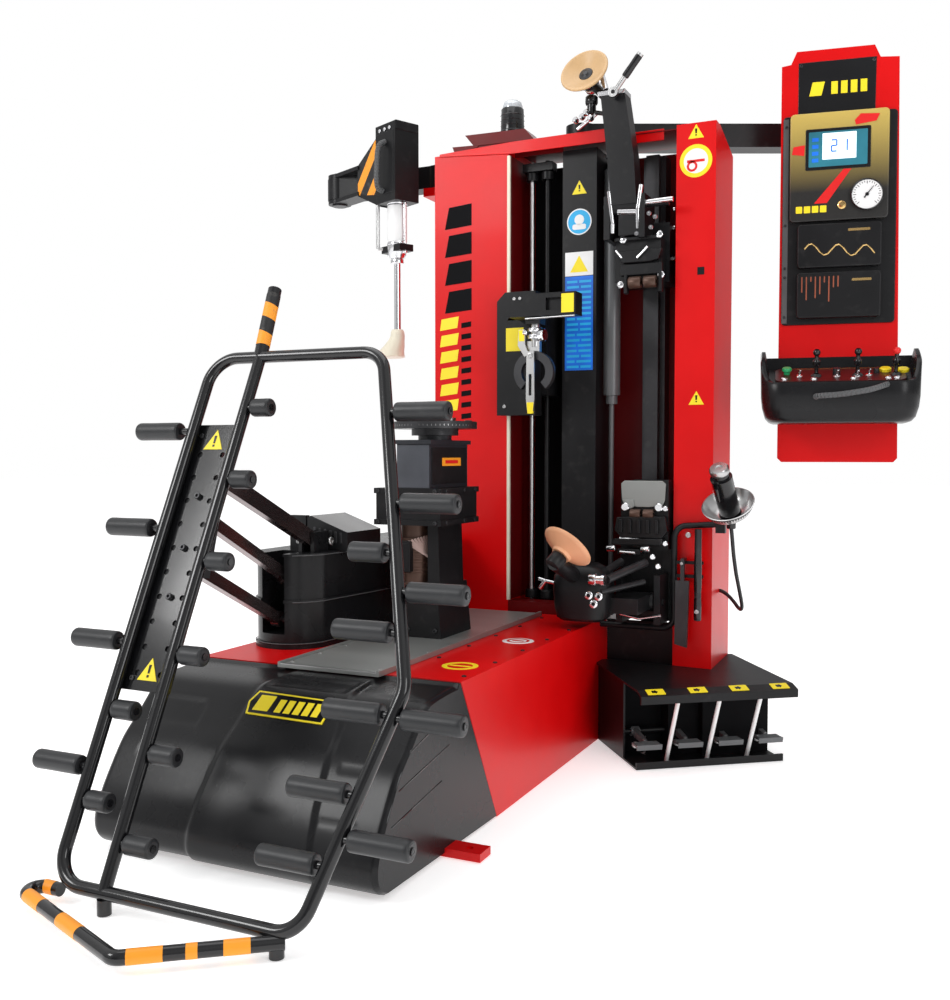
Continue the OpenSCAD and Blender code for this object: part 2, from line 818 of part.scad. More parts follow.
module pedal_base() {
  color([0.1, 0.1, 0.1])
    difference() {
      pedal_frame() {
        block([0, -56, 0], [pedal_w, 320, 6]);
        block([0, -56, 6], [pedal_w, -50, 22]);
        for (x = [0, pedal_w - 6])
          side_shape([[60, 6], [60, 248], [318, 255.6], [318, 6]], x, x + 6);
        translate([3, pedal_pivot[0], pedal_pivot[1]])
          rotate([0, 90, 0]) cylinder(h = pedal_w - 6, r = 8);
        for (i = [1:3])
          bar([i * pedal_pitch - 19, -8, 3], [i * pedal_pitch - 19, -106, 230], 5);
      }
      post_room();
    }
}

module pedal_cover() {
  color([0.12, 0.12, 0.12])
    difference() {
      pedal_frame()
        side_shape(
          [[-125, 214], [-125, 238], [-90, 250], [330, 262], [330, 236], [326, 236], [322, 256],
           [-88, 244], [-119, 234], [-119, 214]],
          -12, pedal_w + 10
        );
      post_room();
    }
}

// One foot pedal with its pivot eye, numbered from the left
module pedal(i) {
  color([0.5, 0.5, 0.49])
    pedal_frame()
      translate([48 + i * pedal_pitch, 0, 0])
        difference() {
          union() {
            block([-40, -40, 62], [40, 6, 68]);
            block([-40, -40, 54], [40, -36, 62]);
            side_shape([[0, 62], [84, 66], [84, 92], [0, 74]], -8, 8);
            translate([-14, pedal_pivot[0], pedal_pivot[1]])
              rotate([0, 90, 0]) cylinder(h = 28, r = 15);
          }
          translate([-20, pedal_pivot[0], pedal_pivot[1]])
            rotate([0, 90, 0]) cylinder(h = 40, r = 8 + fit);
        }
}

module pedal_1() { pedal(0); }
module pedal_2() { pedal(1); }
module pedal_3() { pedal(2); }
module pedal_4() { pedal(3); }

// ---- Rack, tools and hose on the right post ----

// The bowl and the gun in it lean forward together, from the bottom of the bowl
module bowl_frame() {
  translate([828, 330, 760]) rotate([37, -6, 0]) children();
}

module side_rack() {
  color([0.13, 0.13, 0.13]) {
    translate([0, 372, 0]) rotate([90, 0, 0])
      bent_tube([[base_half, 384], [640, 384], [640, 716], [800, 728]], 40, 10);
    for (z = [556, 600]) {
      block([632, 366, z - 4], [734, 378, z + 6]);
      block([700, 378, z - 4], [712, column_front, z + 6]);
    }
    block([776, 350, 700], [806, 372, 764]);
    bowl_frame() block([-50, 20, -26], [-22, 38, 2]);
  }
  color([0.6, 0.61, 0.6])
    bowl_frame()
      rotate_extrude()
        polygon([[16, 0], [40, 2], [66, 16], [82, 44], [79, 45], [63, 20], [40, 7], [16, 5]]);
}

module hand_tools() {
  color([0.35, 0.36, 0.36]) {
    front_shape([[650, 340], [690, 330], [696, 545], [652, 545]], 340, 352);
    block([668, 340, 545], [680, 352, 616]);
    block([668, 352, 606], [680, 376, 616]);
  }
  color([0.15, 0.15, 0.15]) {
    translate([722, 350, 420]) cylinder(h = 290, r = 11);
    block([716, 350, 606], [728, 376, 616]);
  }
}

module air_gun() {
  color([0.1, 0.1, 0.1]) {
    translate([830, 330, 716]) cylinder(h = 32, r = 14);
    bowl_frame() {
      translate([0, 0, -18]) cylinder(h = 26, r = 11);
      translate([0, 0, 7]) cylinder(h = 143, r = 34);
      translate([0, 0, 150]) cylinder(h = 16, r = 26);
      translate([0, 0, 166]) cylinder(h = 22, r = 30);
    }
  }
}

// Direction, side and ring of points at each point of the hose's route
function hose_dir(i) =
  let (n = len(hose_route) - 1, a = hose_route[max(0, i - 1)], b = hose_route[min(n, i + 1)])
  (b - a) / norm(b - a);
function hose_side(i) = let (c = cross(hose_dir(i), [1, 0, 0])) c / norm(c);
function hose_ring(i, r) =
  let (u = hose_side(i), v = cross(hose_dir(i), u))
  [for (k = [0:9]) hose_route[i] + r * (cos(36 * k) * u + sin(36 * k) * v)];

module air_hose() {
  n = len(hose_route);
  points = [for (i = [0:n - 1], p = hose_ring(i, 6)) p];
  walls = [for (i = [0:n - 2], k = [0:9])
    [i * 10 + k, i * 10 + (k + 1) % 10, (i + 1) * 10 + (k + 1) % 10, (i + 1) * 10 + k]];
  caps = [[for (k = [9:-1:0]) k], [for (k = [0:9]) (n - 1) * 10 + k]];
  color([0.08, 0.08, 0.08]) polyhedron(points = points, faces = concat(walls, caps));
}

// ---- Console ----

module console_arm() {
  color([0.1, 0.1, 0.11]) {
    translate([console_pivot[0], console_pivot[1], column_h + 6])
      rotate([0, 0, console_heading])
        difference() {
          union() {
            cylinder(h = 80, r = 52);
            block([0, -40, 0], [console_reach - 20, 40, 80]);
            translate([console_reach, 0, 0]) cylinder(h = 80, r = 42);
          }
          translate([console_reach, 0, -1]) cylinder(h = 90, r = 16 + fit);
          translate([0, 0, -1]) cylinder(h = 90, r = 20 + fit);
        }
  }
}

module console_panel() {
  color("red")
    console_frame() {
      difference() {
        front_shape(
          [[-195, 935], [-182, console_low], [168, console_low], [180, 935],
           [console_w - 195, console_high], [110, console_high + 4], [92, console_high + 44],
           [-148, console_high + 44], [-166, console_high + 4], [-195, console_high]],
          0, 46
        );
        front_shape(
          [[-190, 940], [176, 940], [163, console_high - 4], [-191, console_high - 4]],
          5, 50
        );
      }
    }
  color([0.1, 0.1, 0.11]) {
    translate([console_swivel[0], console_swivel[1], 1940]) cylinder(h = 150, r = 16);
    translate([console_swivel[0], console_swivel[1], 1940]) cylinder(h = 60, r = 40);
    console_frame() {
      block([-110, 46, 1940], [-30, 230, 1990]);
      block([-192, 4, 1900], [163.5, 46, 2000]);
    }
  }
}

module control_tray() {
  color([0.12, 0.12, 0.13])
    console_frame()
      translate([-8, -0.5, 0])
        difference() {
          union() {
            translate([0, 0, 1046]) linear_extrude(150) tray_outline(240, 190, 66);
            translate([0, 0, 1196]) linear_extrude(86) tray_outline(240, 100, 48);
          }
          // Sloping control face between the two side horns
          side_shape([[-230, 1172], [-30, 1262], [-30, 1400], [-230, 1400]], -186, 186);
          side_shape([[-300, 1140], [-150, 1200], [-60, 1284], [-60, 1400], [-300, 1400]], -260, 260);
          // Joystick sockets
          for (x = [-70, 54, 168])
            translate([x, -120, 1220]) rotate([24, 0, 0])
              translate([0, 0, -50]) cylinder(h = 90, r = 13);
        }
}

// One joystick at a place along the tray
module joystick(x) {
  color([0.08, 0.08, 0.08])
    console_frame()
      translate([x - 8, -120.5, 1220])
        rotate([24, 0, 0]) {
          translate([0, 0, -20]) sphere(9);
          translate([0, 0, -20]) cylinder(h = 34, r = 6);
          // Pivot pin
          translate([-10, 0, -20]) rotate([0, 90, 0]) cylinder(h = 20, r = 5);
          translate([0, 0, 10]) cylinder(h = 44, r = 8);
          translate([0, 0, 54]) sphere(11);
        }
}

module joystick_left() { joystick(-70); }
module joystick_middle() { joystick(54); }
module joystick_right() { joystick(168); }

// ---- Press arm ----

module helper_arm() {
  color([0.12, 0.13, 0.14])
    difference() {
      union() {
        block([helper_elbow[0], helper_elbow[1] - 40, 1927], [helper_pivot[0], helper_pivot[1] + 40, 2007]);
        translate([helper_elbow[0], helper_elbow[1], 1927]) cylinder(h = 80, r = 46);
        translate([helper_pivot[0], helper_pivot[1], 1927]) cylinder(h = 80, r = 46);
      }
      translate([helper_elbow[0], helper_elbow[1], 1900]) cylinder(h = 140, r = 18 + fit);
      translate([helper_pivot[0], helper_pivot[1], 1900]) cylinder(h = 140, r = 18 + fit);
    }
}

module helper_link() {
  color("gold")
    translate([helper_elbow[0], helper_elbow[1], 0])
      rotate([0, 0, helper_angle]) {
        for (z = [1912, 2008])
          translate([0, 0, z])
            union() {
              cylinder(h = 14, r = 44);
              translate([0, -36, 0]) cube([178, 72, 14]);
            }
        translate([0, 0, 1920]) cylinder(h = 96, r = 18);
        front_shape(
          [[168, 1912], [helper_link_len - 60, 1846], [helper_link_len - 60, 2116],
           [168, 2022]],
          -30, 30
        );
      }
}

module press_cylinder() {
  color([0.16, 0.16, 0.17])
    translate([helper_head[0], helper_head[1], 0]) {
      difference() {
        rotate([0, 0, helper_angle]) block([-60, -52, 1850], [60, 52, 2126]);
        translate([0, 0, 1640]) cylinder(h = 300, r = 12 + fit);
      }
      difference() {
        translate([0, 0, 1700]) cylinder(h = 150, r = 34);
        translate([0, 0, 1640]) cylinder(h = 300, r = 12 + fit);
      }
      for (side = [-1, 1])
        rotate([0, 0, helper_angle]) translate([side * 46, 0, 1676]) cylinder(h = 174, r = 5);
      difference() {
        union() {
          rotate([0, 0, helper_angle]) block([-56, -30, 1676], [56, 30, 1700]);
          translate([0, 0, 1636]) cylinder(h = 40, r = 22);
        }
        translate([0, 0, 1600]) cylinder(h = 300, r = 12 + fit);
      }
    }
}

module press_rod() {
  color("silver")
    translate([helper_head[0], helper_head[1], 1400]) {
      cylinder(h = 520, r = 12);
      translate([0, 0, -30]) cylinder(h = 30, r = 9);
    }
}

module press_cone() {
  color([0.9, 0.88, 0.8])
    translate([helper_head[0], helper_head[1], 0])
      rotate_extrude()
        polygon([[9 + fit, 1366], [9 + fit, 1399.5], [24, 1399.5], [28, 1370], [44, 1330],
                 [70, 1308], [70, 1300], [62, 1298], [40, 1322], [20, 1362]]);
}

base_frame();
front_cover();
left_post();
right_post();
column_back();
mast_strip();
guide_rods();
disc_rail();
lift_cylinder();
beacon_bracket();
beacon();
lift_casing();
lift_motor();
pedal_base();
pedal_cover();
side_rack();
hand_tools();
air_gun();
air_hose();
slide_cylinder();
slide_plate();
tower();
gearbox();
drive_motor();
turntable();
clamp_spindle();
lift_arm_upper();
lift_arm_middle();
lift_arm_lower();
lift_bracket();
lift_frame();
lift_plate();
floor_loop();
rollers();
tool_carriage();
tool_arm();
mount_hook();
tool_lever();
upper_carriage();
upper_arm();
upper_disc();
release_lever();
lower_carriage();
lower_arm();
lower_disc();
pedal_1();
pedal_2();
pedal_3();
pedal_4();
console_arm();
console_panel();
control_tray();
joystick_left();
joystick_middle();
joystick_right();
helper_arm();
helper_link();
press_cylinder();
press_rod();
press_cone();
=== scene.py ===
"""Looks of the tyre changer. Lengths are in millimetres in the part's own frame, and piece()
turns them into metres."""

import json
import math

import bmesh
import bpy
from mathutils import Matrix, Vector


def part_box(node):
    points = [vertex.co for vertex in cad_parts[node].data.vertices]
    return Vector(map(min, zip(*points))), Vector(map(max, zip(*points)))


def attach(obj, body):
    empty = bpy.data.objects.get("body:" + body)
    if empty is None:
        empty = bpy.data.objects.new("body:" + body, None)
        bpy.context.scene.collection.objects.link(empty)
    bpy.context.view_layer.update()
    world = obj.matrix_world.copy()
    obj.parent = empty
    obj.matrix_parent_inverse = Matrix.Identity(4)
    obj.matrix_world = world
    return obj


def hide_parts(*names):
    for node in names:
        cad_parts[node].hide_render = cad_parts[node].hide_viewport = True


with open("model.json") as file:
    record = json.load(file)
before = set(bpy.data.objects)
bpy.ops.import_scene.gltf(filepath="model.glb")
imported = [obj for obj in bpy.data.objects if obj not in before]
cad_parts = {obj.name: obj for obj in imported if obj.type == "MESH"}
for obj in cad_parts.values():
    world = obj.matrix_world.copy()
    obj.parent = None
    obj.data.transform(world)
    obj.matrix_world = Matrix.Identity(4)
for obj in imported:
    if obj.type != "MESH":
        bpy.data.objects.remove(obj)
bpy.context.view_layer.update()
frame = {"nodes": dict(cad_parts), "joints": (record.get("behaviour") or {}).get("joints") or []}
MM = 0.001


# ---- Places in the frame ----


def corners(node):
    """Lowest and highest corner of a CAD node, in millimetres."""
    low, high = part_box(node)
    return Vector(low) / MM, Vector(high) / MM


def at(x, y, z=0):
    """Frame moved to a place."""
    return Matrix.Translation((x, y, z))


def turn(degrees, axis="Z"):
    """Frame turned about one axis."""
    return Matrix.Rotation(math.radians(degrees), 4, axis)


def aimed(place, direction):
    """Frame at a place whose own Z points along a direction."""
    way = Vector((0, 0, 1)).rotation_difference(Vector(direction).normalized())
    return at(*place) @ way.to_matrix().to_4x4()


def round_point(degrees, radius, height):
    """Point at a radius and a height, turned round the vertical axis."""
    angle = math.radians(degrees)
    return Vector((radius * math.cos(angle), radius * math.sin(angle), height))


def upright(x, y, z):
    """Frame on a face that looks forwards: X to the right, Y up, Z out of the face."""
    return at(x, y, z) @ turn(90, "X")


JOINTS = {joint["name"]: joint for joint in frame["joints"]}


def joint_place(name):
    return Vector(JOINTS[name]["pos_m"]) / MM


LEAN = at(0, -1366.8, 45) @ turn(-24.6, "X")
PEDALS = at(575, 108) @ turn(37)
CONSOLE = at(1107, 681) @ turn(9.3)
ELBOW = joint_place("press_elbow")
HEAD = joint_place("press_foot_spin")
LINK_TURN = math.degrees(math.atan2(HEAD.y - ELBOW.y, HEAD.x - ELBOW.x))
LINK = at(ELBOW.x, ELBOW.y) @ turn(LINK_TURN)
HERE = Matrix.Identity(4)


# ---- Camera, lights and floor ----


def make_camera():
    data = bpy.data.cameras.new("camera")
    data.lens = 38.2
    data.sensor_fit = "VERTICAL"
    data.sensor_height = 36
    camera = bpy.data.objects.new("camera", data)
    camera.location = (1.5, -2.994, 0.9525)
    camera.rotation_euler = (math.radians(90 - 2.542), 0, math.radians(25.005))
    bpy.context.scene.collection.objects.link(camera)
    bpy.context.scene.camera = camera


def area_light(name, place, aim, size, power, color=(1, 1, 1)):
    data = bpy.data.lights.new(name, "AREA")
    data.shape = "RECTANGLE"
    data.size, data.size_y = size
    data.energy = power
    data.color = color
    light = bpy.data.objects.new(name, data)
    light.location = place
    direction = Vector(aim) - Vector(place)
    light.rotation_euler = direction.to_track_quat("-Z", "Y").to_euler()
    bpy.context.scene.collection.objects.link(light)


def studio_world():
    """White behind the machine; light and dark sides of a studio for everything it reflects."""
    world = bpy.data.worlds.new("studio")
    world.use_nodes = True
    tree = world.node_tree
    room = tree.nodes["Background"]
    place = tree.nodes.new("ShaderNodeTexCoord")
    split = tree.nodes.new("ShaderNodeSeparateXYZ")
    tree.links.new(place.outputs["Generated"], split.inputs["Vector"])
    across = math_node(tree, "MULTIPLY_ADD", split.outputs["X"], 0.5)
    across.node.inputs[2].default_value = 0.5
    sides = ramp(tree, across, [(0.0, (0.75, 0.75, 0.75)), (0.3, (1, 1, 1)),
                                (0.42, (0.16, 0.16, 0.17)), (0.6, (0.16, 0.16, 0.17)),
                                (0.75, (0.8, 0.8, 0.8)), (1.0, (0.3, 0.3, 0.3))])
    height = ramp(tree, split.outputs["Z"], [(0.0, (0.25, 0.25, 0.25)), (0.35, (0.5, 0.5, 0.5)),
                                             (0.8, (1, 1, 1))])
    tree.links.new(mix_colors(tree, 0.5, sides, height), room.inputs["Color"])
    backdrop = tree.nodes.new("ShaderNodeBackground")
    backdrop.inputs["Color"].default_value = (1, 1, 1, 1)
    path = tree.nodes.new("ShaderNodeLightPath")
    choice = tree.nodes.new("ShaderNodeMixShader")
    tree.links.new(path.outputs["Is Camera Ray"], choice.inputs[0])
    tree.links.new(room.outputs["Background"], choice.inputs[1])
    tree.links.new(backdrop.outputs["Background"], choice.inputs[2])
    tree.links.new(choice.outputs["Shader"], tree.nodes["World Output"].inputs["Surface"])
    return world


def make_stage():
    bpy.context.scene.view_settings.view_transform = "Standard"
    area_light("key", (-2.6, -4.2, 3.6), (0, -0.2, 0.9), (1.6, 1.6), 90)
    area_light("fill", (4.2, -2.6, 2.4), (0.3, 0, 0.9), (1.4, 2.2), 45)
    area_light("top", (0, -0.2, 4.6), (0, 0, 0), (3.0, 3.0), 45)
    area_light("rim", (-1.5, 4.0, 3.0), (0, 0, 1.2), (2.5, 2.0), 30)
    bpy.context.scene.world = studio_world()
    grid = bmesh.new()
    bmesh.ops.create_grid(grid, x_segments=2, y_segments=2, size=30)
    mesh = bpy.data.meshes.new("floor")
    grid.to_mesh(mesh)
    grid.free()
    floor = bpy.data.objects.new("floor", mesh)
    floor.location = (0, 0, -0.002)
    bpy.context.scene.collection.objects.link(floor)
    mesh.materials.append(surface("floor_paper", (0.95, 0.95, 0.95), 0.8, tone=0.01,
                                  emit=0.5))


# ---- Materials ----


def nodes_of(material):
    material.use_nodes = True
    tree = material.node_tree
    return tree, tree.nodes["Principled BSDF"]


def noise(tree, scale, detail=3.0, stretch=(1, 1, 1)):
    """Noise in the object's own space, drawn out along an axis where stretch is below 1."""
    place = tree.nodes.new("ShaderNodeTexCoord")
    mapping = tree.nodes.new("ShaderNodeMapping")
    mapping.inputs["Scale"].default_value = stretch
    tree.links.new(place.outputs["Object"], mapping.inputs["Vector"])
    texture = tree.nodes.new("ShaderNodeTexNoise")
    texture.inputs["Scale"].default_value = scale
    texture.inputs["Detail"].default_value = detail
    tree.links.new(mapping.outputs["Vector"], texture.inputs["Vector"])
    return texture.outputs["Fac"]


def ramp(tree, source, stops, hard=False):
    """Colours picked from a value between 0 and 1."""
    node = tree.nodes.new("ShaderNodeValToRGB")
    bands = node.color_ramp
    bands.interpolation = "CONSTANT" if hard else "LINEAR"
    while len(bands.elements) < len(stops):
        bands.elements.new(0.5)
    for element, (place, color) in zip(bands.elements, stops):
        element.position = place
        element.color = (*color, 1)
    tree.links.new(source, node.inputs["Fac"])
    return node.outputs["Color"]


def math_node(tree, operation, first, second=0.0):
    node = tree.nodes.new("ShaderNodeMath")
    node.operation = operation
    for socket, value in zip(node.inputs, (first, second)):
        if isinstance(value, (int, float)):
            socket.default_value = value
        else:
            tree.links.new(value, socket)
    return node.outputs["Value"]


def mix_colors(tree, factor, first, second):
    node = tree.nodes.new("ShaderNodeMix")
    node.data_type = "RGBA"
    if isinstance(factor, (int, float)):
        node.inputs["Factor"].default_value = factor
    else:
        tree.links.new(factor, node.inputs["Factor"])
    for name, value in (("A", first), ("B", second)):
        socket = [s for s in node.inputs if s.name == name and s.type == "RGBA"][0]
        if isinstance(value, tuple):
            socket.default_value = (*value, 1)
        else:
            tree.links.new(value, socket)
    return [s for s in node.outputs if s.type == "RGBA"][0]


def shade(color, factor):
    return tuple(min(1.0, channel * factor) for channel in color)


def surface(
    name, color, rough, metal=0.0, grain=260, depth=0.0002, tone=0.08, coat=0.0,
    dust=0.0, stretch=(1, 1, 1), emit=0.0, shine=0.4
):
    """Painted, moulded or bare surface: mottled colour, uneven gloss and a fine bump."""
    material = bpy.data.materials.new(name)
    tree, shader = nodes_of(material)
    shader.inputs["Metallic"].default_value = metal
    shader.inputs["Coat Weight"].default_value = coat
    shader.inputs["Coat Roughness"].default_value = 0.08
    shader.inputs["Specular IOR Level"].default_value = shine
    broad = noise(tree, 6, 4, stretch)
    fine = noise(tree, grain, 3, stretch)
    base = ramp(tree, broad, [(0.3, shade(color, 1 - tone)), (0.7, shade(color, 1 + tone))])
    if dust:
        scuffs = noise(tree, 28, 8)
        mask = ramp(tree, scuffs, [(0.58, (0, 0, 0)), (0.75, (dust, dust, dust))])
        base = mix_colors(tree, mask, base, (0.32, 0.31, 0.29))
    tree.links.new(base, shader.inputs["Base Color"])
    gloss = tree.nodes.new("ShaderNodeMapRange")
    gloss.inputs["To Min"].default_value = max(0.02, rough - 0.07)
    gloss.inputs["To Max"].default_value = min(1.0, rough + 0.07)
    tree.links.new(broad, gloss.inputs["Value"])
    tree.links.new(gloss.outputs["Result"], shader.inputs["Roughness"])
    bump = tree.nodes.new("ShaderNodeBump")
    bump.inputs["Strength"].default_value = 0.6
    bump.inputs["Distance"].default_value = depth
    tree.links.new(fine, bump.inputs["Height"])
    tree.links.new(bump.outputs["Normal"], shader.inputs["Normal"])
    if emit:
        tree.links.new(base, shader.inputs["Emission Color"])
        shader.inputs["Emission Strength"].default_value = emit
    return material


def striped(name, first, second, direction, pitch, rough=0.35, offset=0.0, share=0.5):
    """Hazard stripes across a direction, a pitch apart in metres, in the object's own space."""
    material = bpy.data.materials.new(name)
    tree, shader = nodes_of(material)
    place = tree.nodes.new("ShaderNodeTexCoord")
    dot = tree.nodes.new("ShaderNodeVectorMath")
    dot.operation = "DOT_PRODUCT"
    dot.inputs[1].default_value = Vector(direction).normalized() / pitch
    tree.links.new(place.outputs["Object"], dot.inputs[0])
    shifted = math_node(tree, "ADD", dot.outputs["Value"], offset)
    band = math_node(tree, "FRACT", shifted)
    stripes = ramp(tree, band, [(0.0, first), (share, second)], hard=True)
    worn = noise(tree, 45, 6)
    mask = ramp(tree, worn, [(0.6, (0, 0, 0)), (0.72, (0.35, 0.35, 0.35))])
    color = mix_colors(tree, mask, stripes, (0.12, 0.11, 0.1))
    tree.links.new(color, shader.inputs["Base Color"])
    gloss = ramp(tree, worn, [(0.3, (rough, rough, rough)), (0.8, (0.7, 0.7, 0.7))])
    tree.links.new(gloss, shader.inputs["Roughness"])
    return material


def faded(name, upper, lower, low_z, high_z):
    """Colour that changes evenly with height, from lower at low_z to upper at high_z."""
    material = bpy.data.materials.new(name)
    tree, shader = nodes_of(material)
    place = tree.nodes.new("ShaderNodeTexCoord")
    split = tree.nodes.new("ShaderNodeSeparateXYZ")
    tree.links.new(place.outputs["Object"], split.inputs["Vector"])
    level = tree.nodes.new("ShaderNodeMapRange")
    level.inputs["From Min"].default_value = low_z
    level.inputs["From Max"].default_value = high_z
    tree.links.new(split.outputs["Z"], level.inputs["Value"])
    fade = ramp(tree, level.outputs["Result"], [(0.0, lower), (1.0, upper)])
    grain = noise(tree, 300)
    mask = ramp(tree, grain, [(0.3, (0, 0, 0)), (0.8, (0.1, 0.1, 0.1))])
    tree.links.new(mix_colors(tree, mask, fade, (0.1, 0.1, 0.1)), shader.inputs["Base Color"])
    shader.inputs["Roughness"].default_value = 0.35
    return material


RED = (0.66, 0.001, 0.002)
BLACK = (0.008, 0.008, 0.009)
YELLOW = (0.93, 0.74, 0.02)
ORANGE = (0.95, 0.34, 0.02)

MATERIALS = {
    "red": surface("red_paint", RED, 0.34, grain=420, depth=0.0001, tone=0.05, coat=0.06,
                   shine=0.22),
    # Darker copy of the red paint, used for the column back, the beacon bracket and the beacon
    # hat; on the left post's inner face it is painted shade
    "dark_red_and_shade": surface("dark_red_paint_and_shade", (0.12, 0.002, 0.003), 0.38, tone=0.12, shine=0.2),
    "black": surface("black_powder", BLACK, 0.36, grain=520, depth=0.00022, tone=0.2, dust=0.03,
                     shine=0.25),
    "gloss_black": surface("gloss_black_enamel", (0.006, 0.006, 0.007), 0.16, grain=300,
                           depth=0.0001, tone=0.15, coat=0.25, shine=0.4),
    "cover": surface("black_abs", (0.009, 0.009, 0.01), 0.27, grain=900, depth=0.0001,
                     tone=0.15, dust=0.012, shine=0.25),
    "grey_panel": surface("grey_abs", (0.085, 0.087, 0.09), 0.4, grain=600, depth=0.0002,
                          tone=0.12, shine=0.4),
    # Near-black: the printed bands on the post, and painted shade on sheets in the left bay and
    # the pedal bays
    "dark": surface("near_black_print_and_painted_shade", (0.004, 0.004, 0.005), 0.7, tone=0.2, shine=0.1),
    "rubber": surface("roller_foam", (0.011, 0.012, 0.014), 0.42, grain=900, depth=0.0003,
                      tone=0.2, dust=0.03, shine=0.5),
    "steel": surface("brushed_steel", (0.55, 0.55, 0.55), 0.3, metal=1.0, grain=90,
                     depth=0.00008, tone=0.1, stretch=(1, 1, 0.06)),
    "dark_steel": surface("blackened_steel", (0.05, 0.05, 0.053), 0.36, metal=0.7, grain=150,
                          depth=0.0002, tone=0.25, dust=0.06, shine=0.4),
    # Dark steel tinted pink: painted reflection of the red paint on the lift arms
    "arm": surface("lift_arm_steel_painted_red_reflection", (0.15, 0.115, 0.115), 0.2, metal=0.9, grain=200,
                   depth=0.0001, tone=0.25, stretch=(1, 0.15, 1)),
    "chrome": surface("chrome", (0.8, 0.8, 0.82), 0.14, metal=1.0, grain=60, depth=0.00003,
                      tone=0.04, stretch=(1, 1, 0.05)),
    "plate": surface("slide_steel", (0.34, 0.35, 0.34), 0.42, metal=0.6, grain=180,
                     depth=0.00015, tone=0.12, dust=0.2, stretch=(0.08, 1, 1)),
    "grey_paint": surface("grey_paint", (0.13, 0.135, 0.14), 0.34, tone=0.08, dust=0.08,
                          metal=0.3),
    "gear": surface("gearbox_paint", (0.02, 0.022, 0.027), 0.34, tone=0.12, shine=0.35),
    # Lighter, mottled blue-grey copy of the gearbox paint for its front face: painted reflection
    "gear_face_painted_reflection": surface("gearbox_front_painted_reflection", (0.06, 0.065, 0.078), 0.3, grain=40, depth=0.0004,
                         tone=0.4, shine=0.5),
    "tag_paper": surface("tag_paper", (0.5, 0.36, 0.32), 0.4, grain=120, tone=0.12, dust=0.2),
    "copper": surface("motor_lacquer", (0.1, 0.055, 0.04), 0.36, metal=0.4, tone=0.2),
    "tan": surface("disc_nylon", (0.62, 0.4, 0.2), 0.38, grain=120, depth=0.0003, tone=0.1,
                   dust=0.1),
    "peach": surface("disc_nylon_worn", (0.78, 0.4, 0.22), 0.36, grain=120, depth=0.0003,
                     tone=0.12, dust=0.06),
    "ivory": surface("press_nylon", (0.78, 0.72, 0.58), 0.4, grain=150, depth=0.0002, tone=0.06,
                     dust=0.12),
    "yellow": surface("yellow_label", YELLOW, 0.4, grain=80, tone=0.05),
    "orange": surface("orange_label", ORANGE, 0.4, grain=80, tone=0.05),
    "white": surface("white_label", (0.85, 0.85, 0.85), 0.4, grain=80, tone=0.03),
    "blue": surface("blue_label", (0.01, 0.16, 0.75), 0.35, grain=14, tone=0.35),
    "cyan": surface("cyan_label", (0.02, 0.42, 0.8), 0.35, grain=80, tone=0.05),
    "brass": surface("brass", (0.75, 0.5, 0.2), 0.25, metal=1.0, tone=0.08),
    "green": surface("green_knob", (0.02, 0.35, 0.12), 0.3, tone=0.06),
    "button_red": surface("red_knob", (0.75, 0.02, 0.02), 0.25, tone=0.05),
    "clear": surface("clear_dome", (0.6, 0.63, 0.66), 0.08, metal=0.3, tone=0.05),
    "screen": surface("screen", (0.02, 0.12, 0.16), 0.12, tone=0.3, emit=0.6),
    "screen_page": surface("screen_page", (0.7, 0.82, 0.88), 0.15, tone=0.05, emit=0.7),
    "rust": surface("rust_bars", (0.3, 0.08, 0.04), 0.4, tone=0.2),
    "tray_panel": surface("tray_face", (0.045, 0.008, 0.008), 0.3, grain=500, tone=0.2),
    "link_hazard": striped("link_hazard", ORANGE, BLACK, (1, 0, -0.75), 0.075, share=0.5),
    "loop_hazard": striped("loop_hazard", ORANGE, BLACK, (1, 0.4, 0.2), 0.16, share=0.45),
    "handle_hazard": striped("handle_hazard", ORANGE, BLACK, (0.35, 0.4, 1), 0.075, share=0.5),
    "dash_fade": faded("dashboard_fade", (0.62, 0.45, 0.1), (0.012, 0.011, 0.01), 1.8, 2.06),
}

NODE_MATERIALS = {
    "red": ["base_frame", "left_post", "right_post", "console_panel"],
    "dark_red_and_shade": ["column_back", "beacon_bracket"],
    "black": ["mast_strip", "lift_motor", "pedal_base", "pedal_cover", "side_rack", "tower",
              "lift_bracket", "tool_carriage", "tool_arm", "upper_carriage", "upper_arm",
              "lower_carriage", "lower_arm", "console_arm", "helper_arm", "helper_link",
              "press_cylinder"],
    "gloss_black": ["lift_frame", "lift_plate", "floor_loop", "beacon", "air_gun",
                    "joystick_left", "joystick_middle", "joystick_right"],
    "arm": ["lift_arm_upper", "lift_arm_middle", "lift_arm_lower"],
    "cover": ["front_cover", "lift_casing", "control_tray"],
    "rubber": ["rollers", "air_hose"],
    "steel": ["clamp_spindle", "release_lever", "tool_lever"],
    "dark_steel": ["disc_rail", "turntable", "mount_hook", "hand_tools"],
    "chrome": ["guide_rods", "press_rod"],
    "plate": ["slide_plate"],
    "grey_paint": ["lift_cylinder", "slide_cylinder", "pedal_1", "pedal_2", "pedal_3", "pedal_4"],
    "gear": ["gearbox"],
    "copper": ["drive_motor"],
    "tan": ["upper_disc", "lower_disc"],
    "ivory": ["press_cone"],
}


def paint_nodes():
    for material, names in NODE_MATERIALS.items():
        for name in names:
            slots = frame["nodes"][name].data.materials
            slots.clear()
            slots.append(MATERIALS[material])


# ---- Shapes ----

# The mesh that the shapes are drawn in, in millimetres, until piece() ends it
bm = bmesh.new()


def box(low, high, matrix=HERE):
    """Box between two corners, in a frame."""
    verts = bmesh.ops.create_cube(bm, size=1)["verts"]
    size = [b - a for a, b in zip(low, high)]
    middle = [(a + b) / 2 for a, b in zip(low, high)]
    bmesh.ops.transform(bm, matrix=matrix @ at(*middle) @ Matrix.Diagonal((*size, 1)),
                        verts=verts)


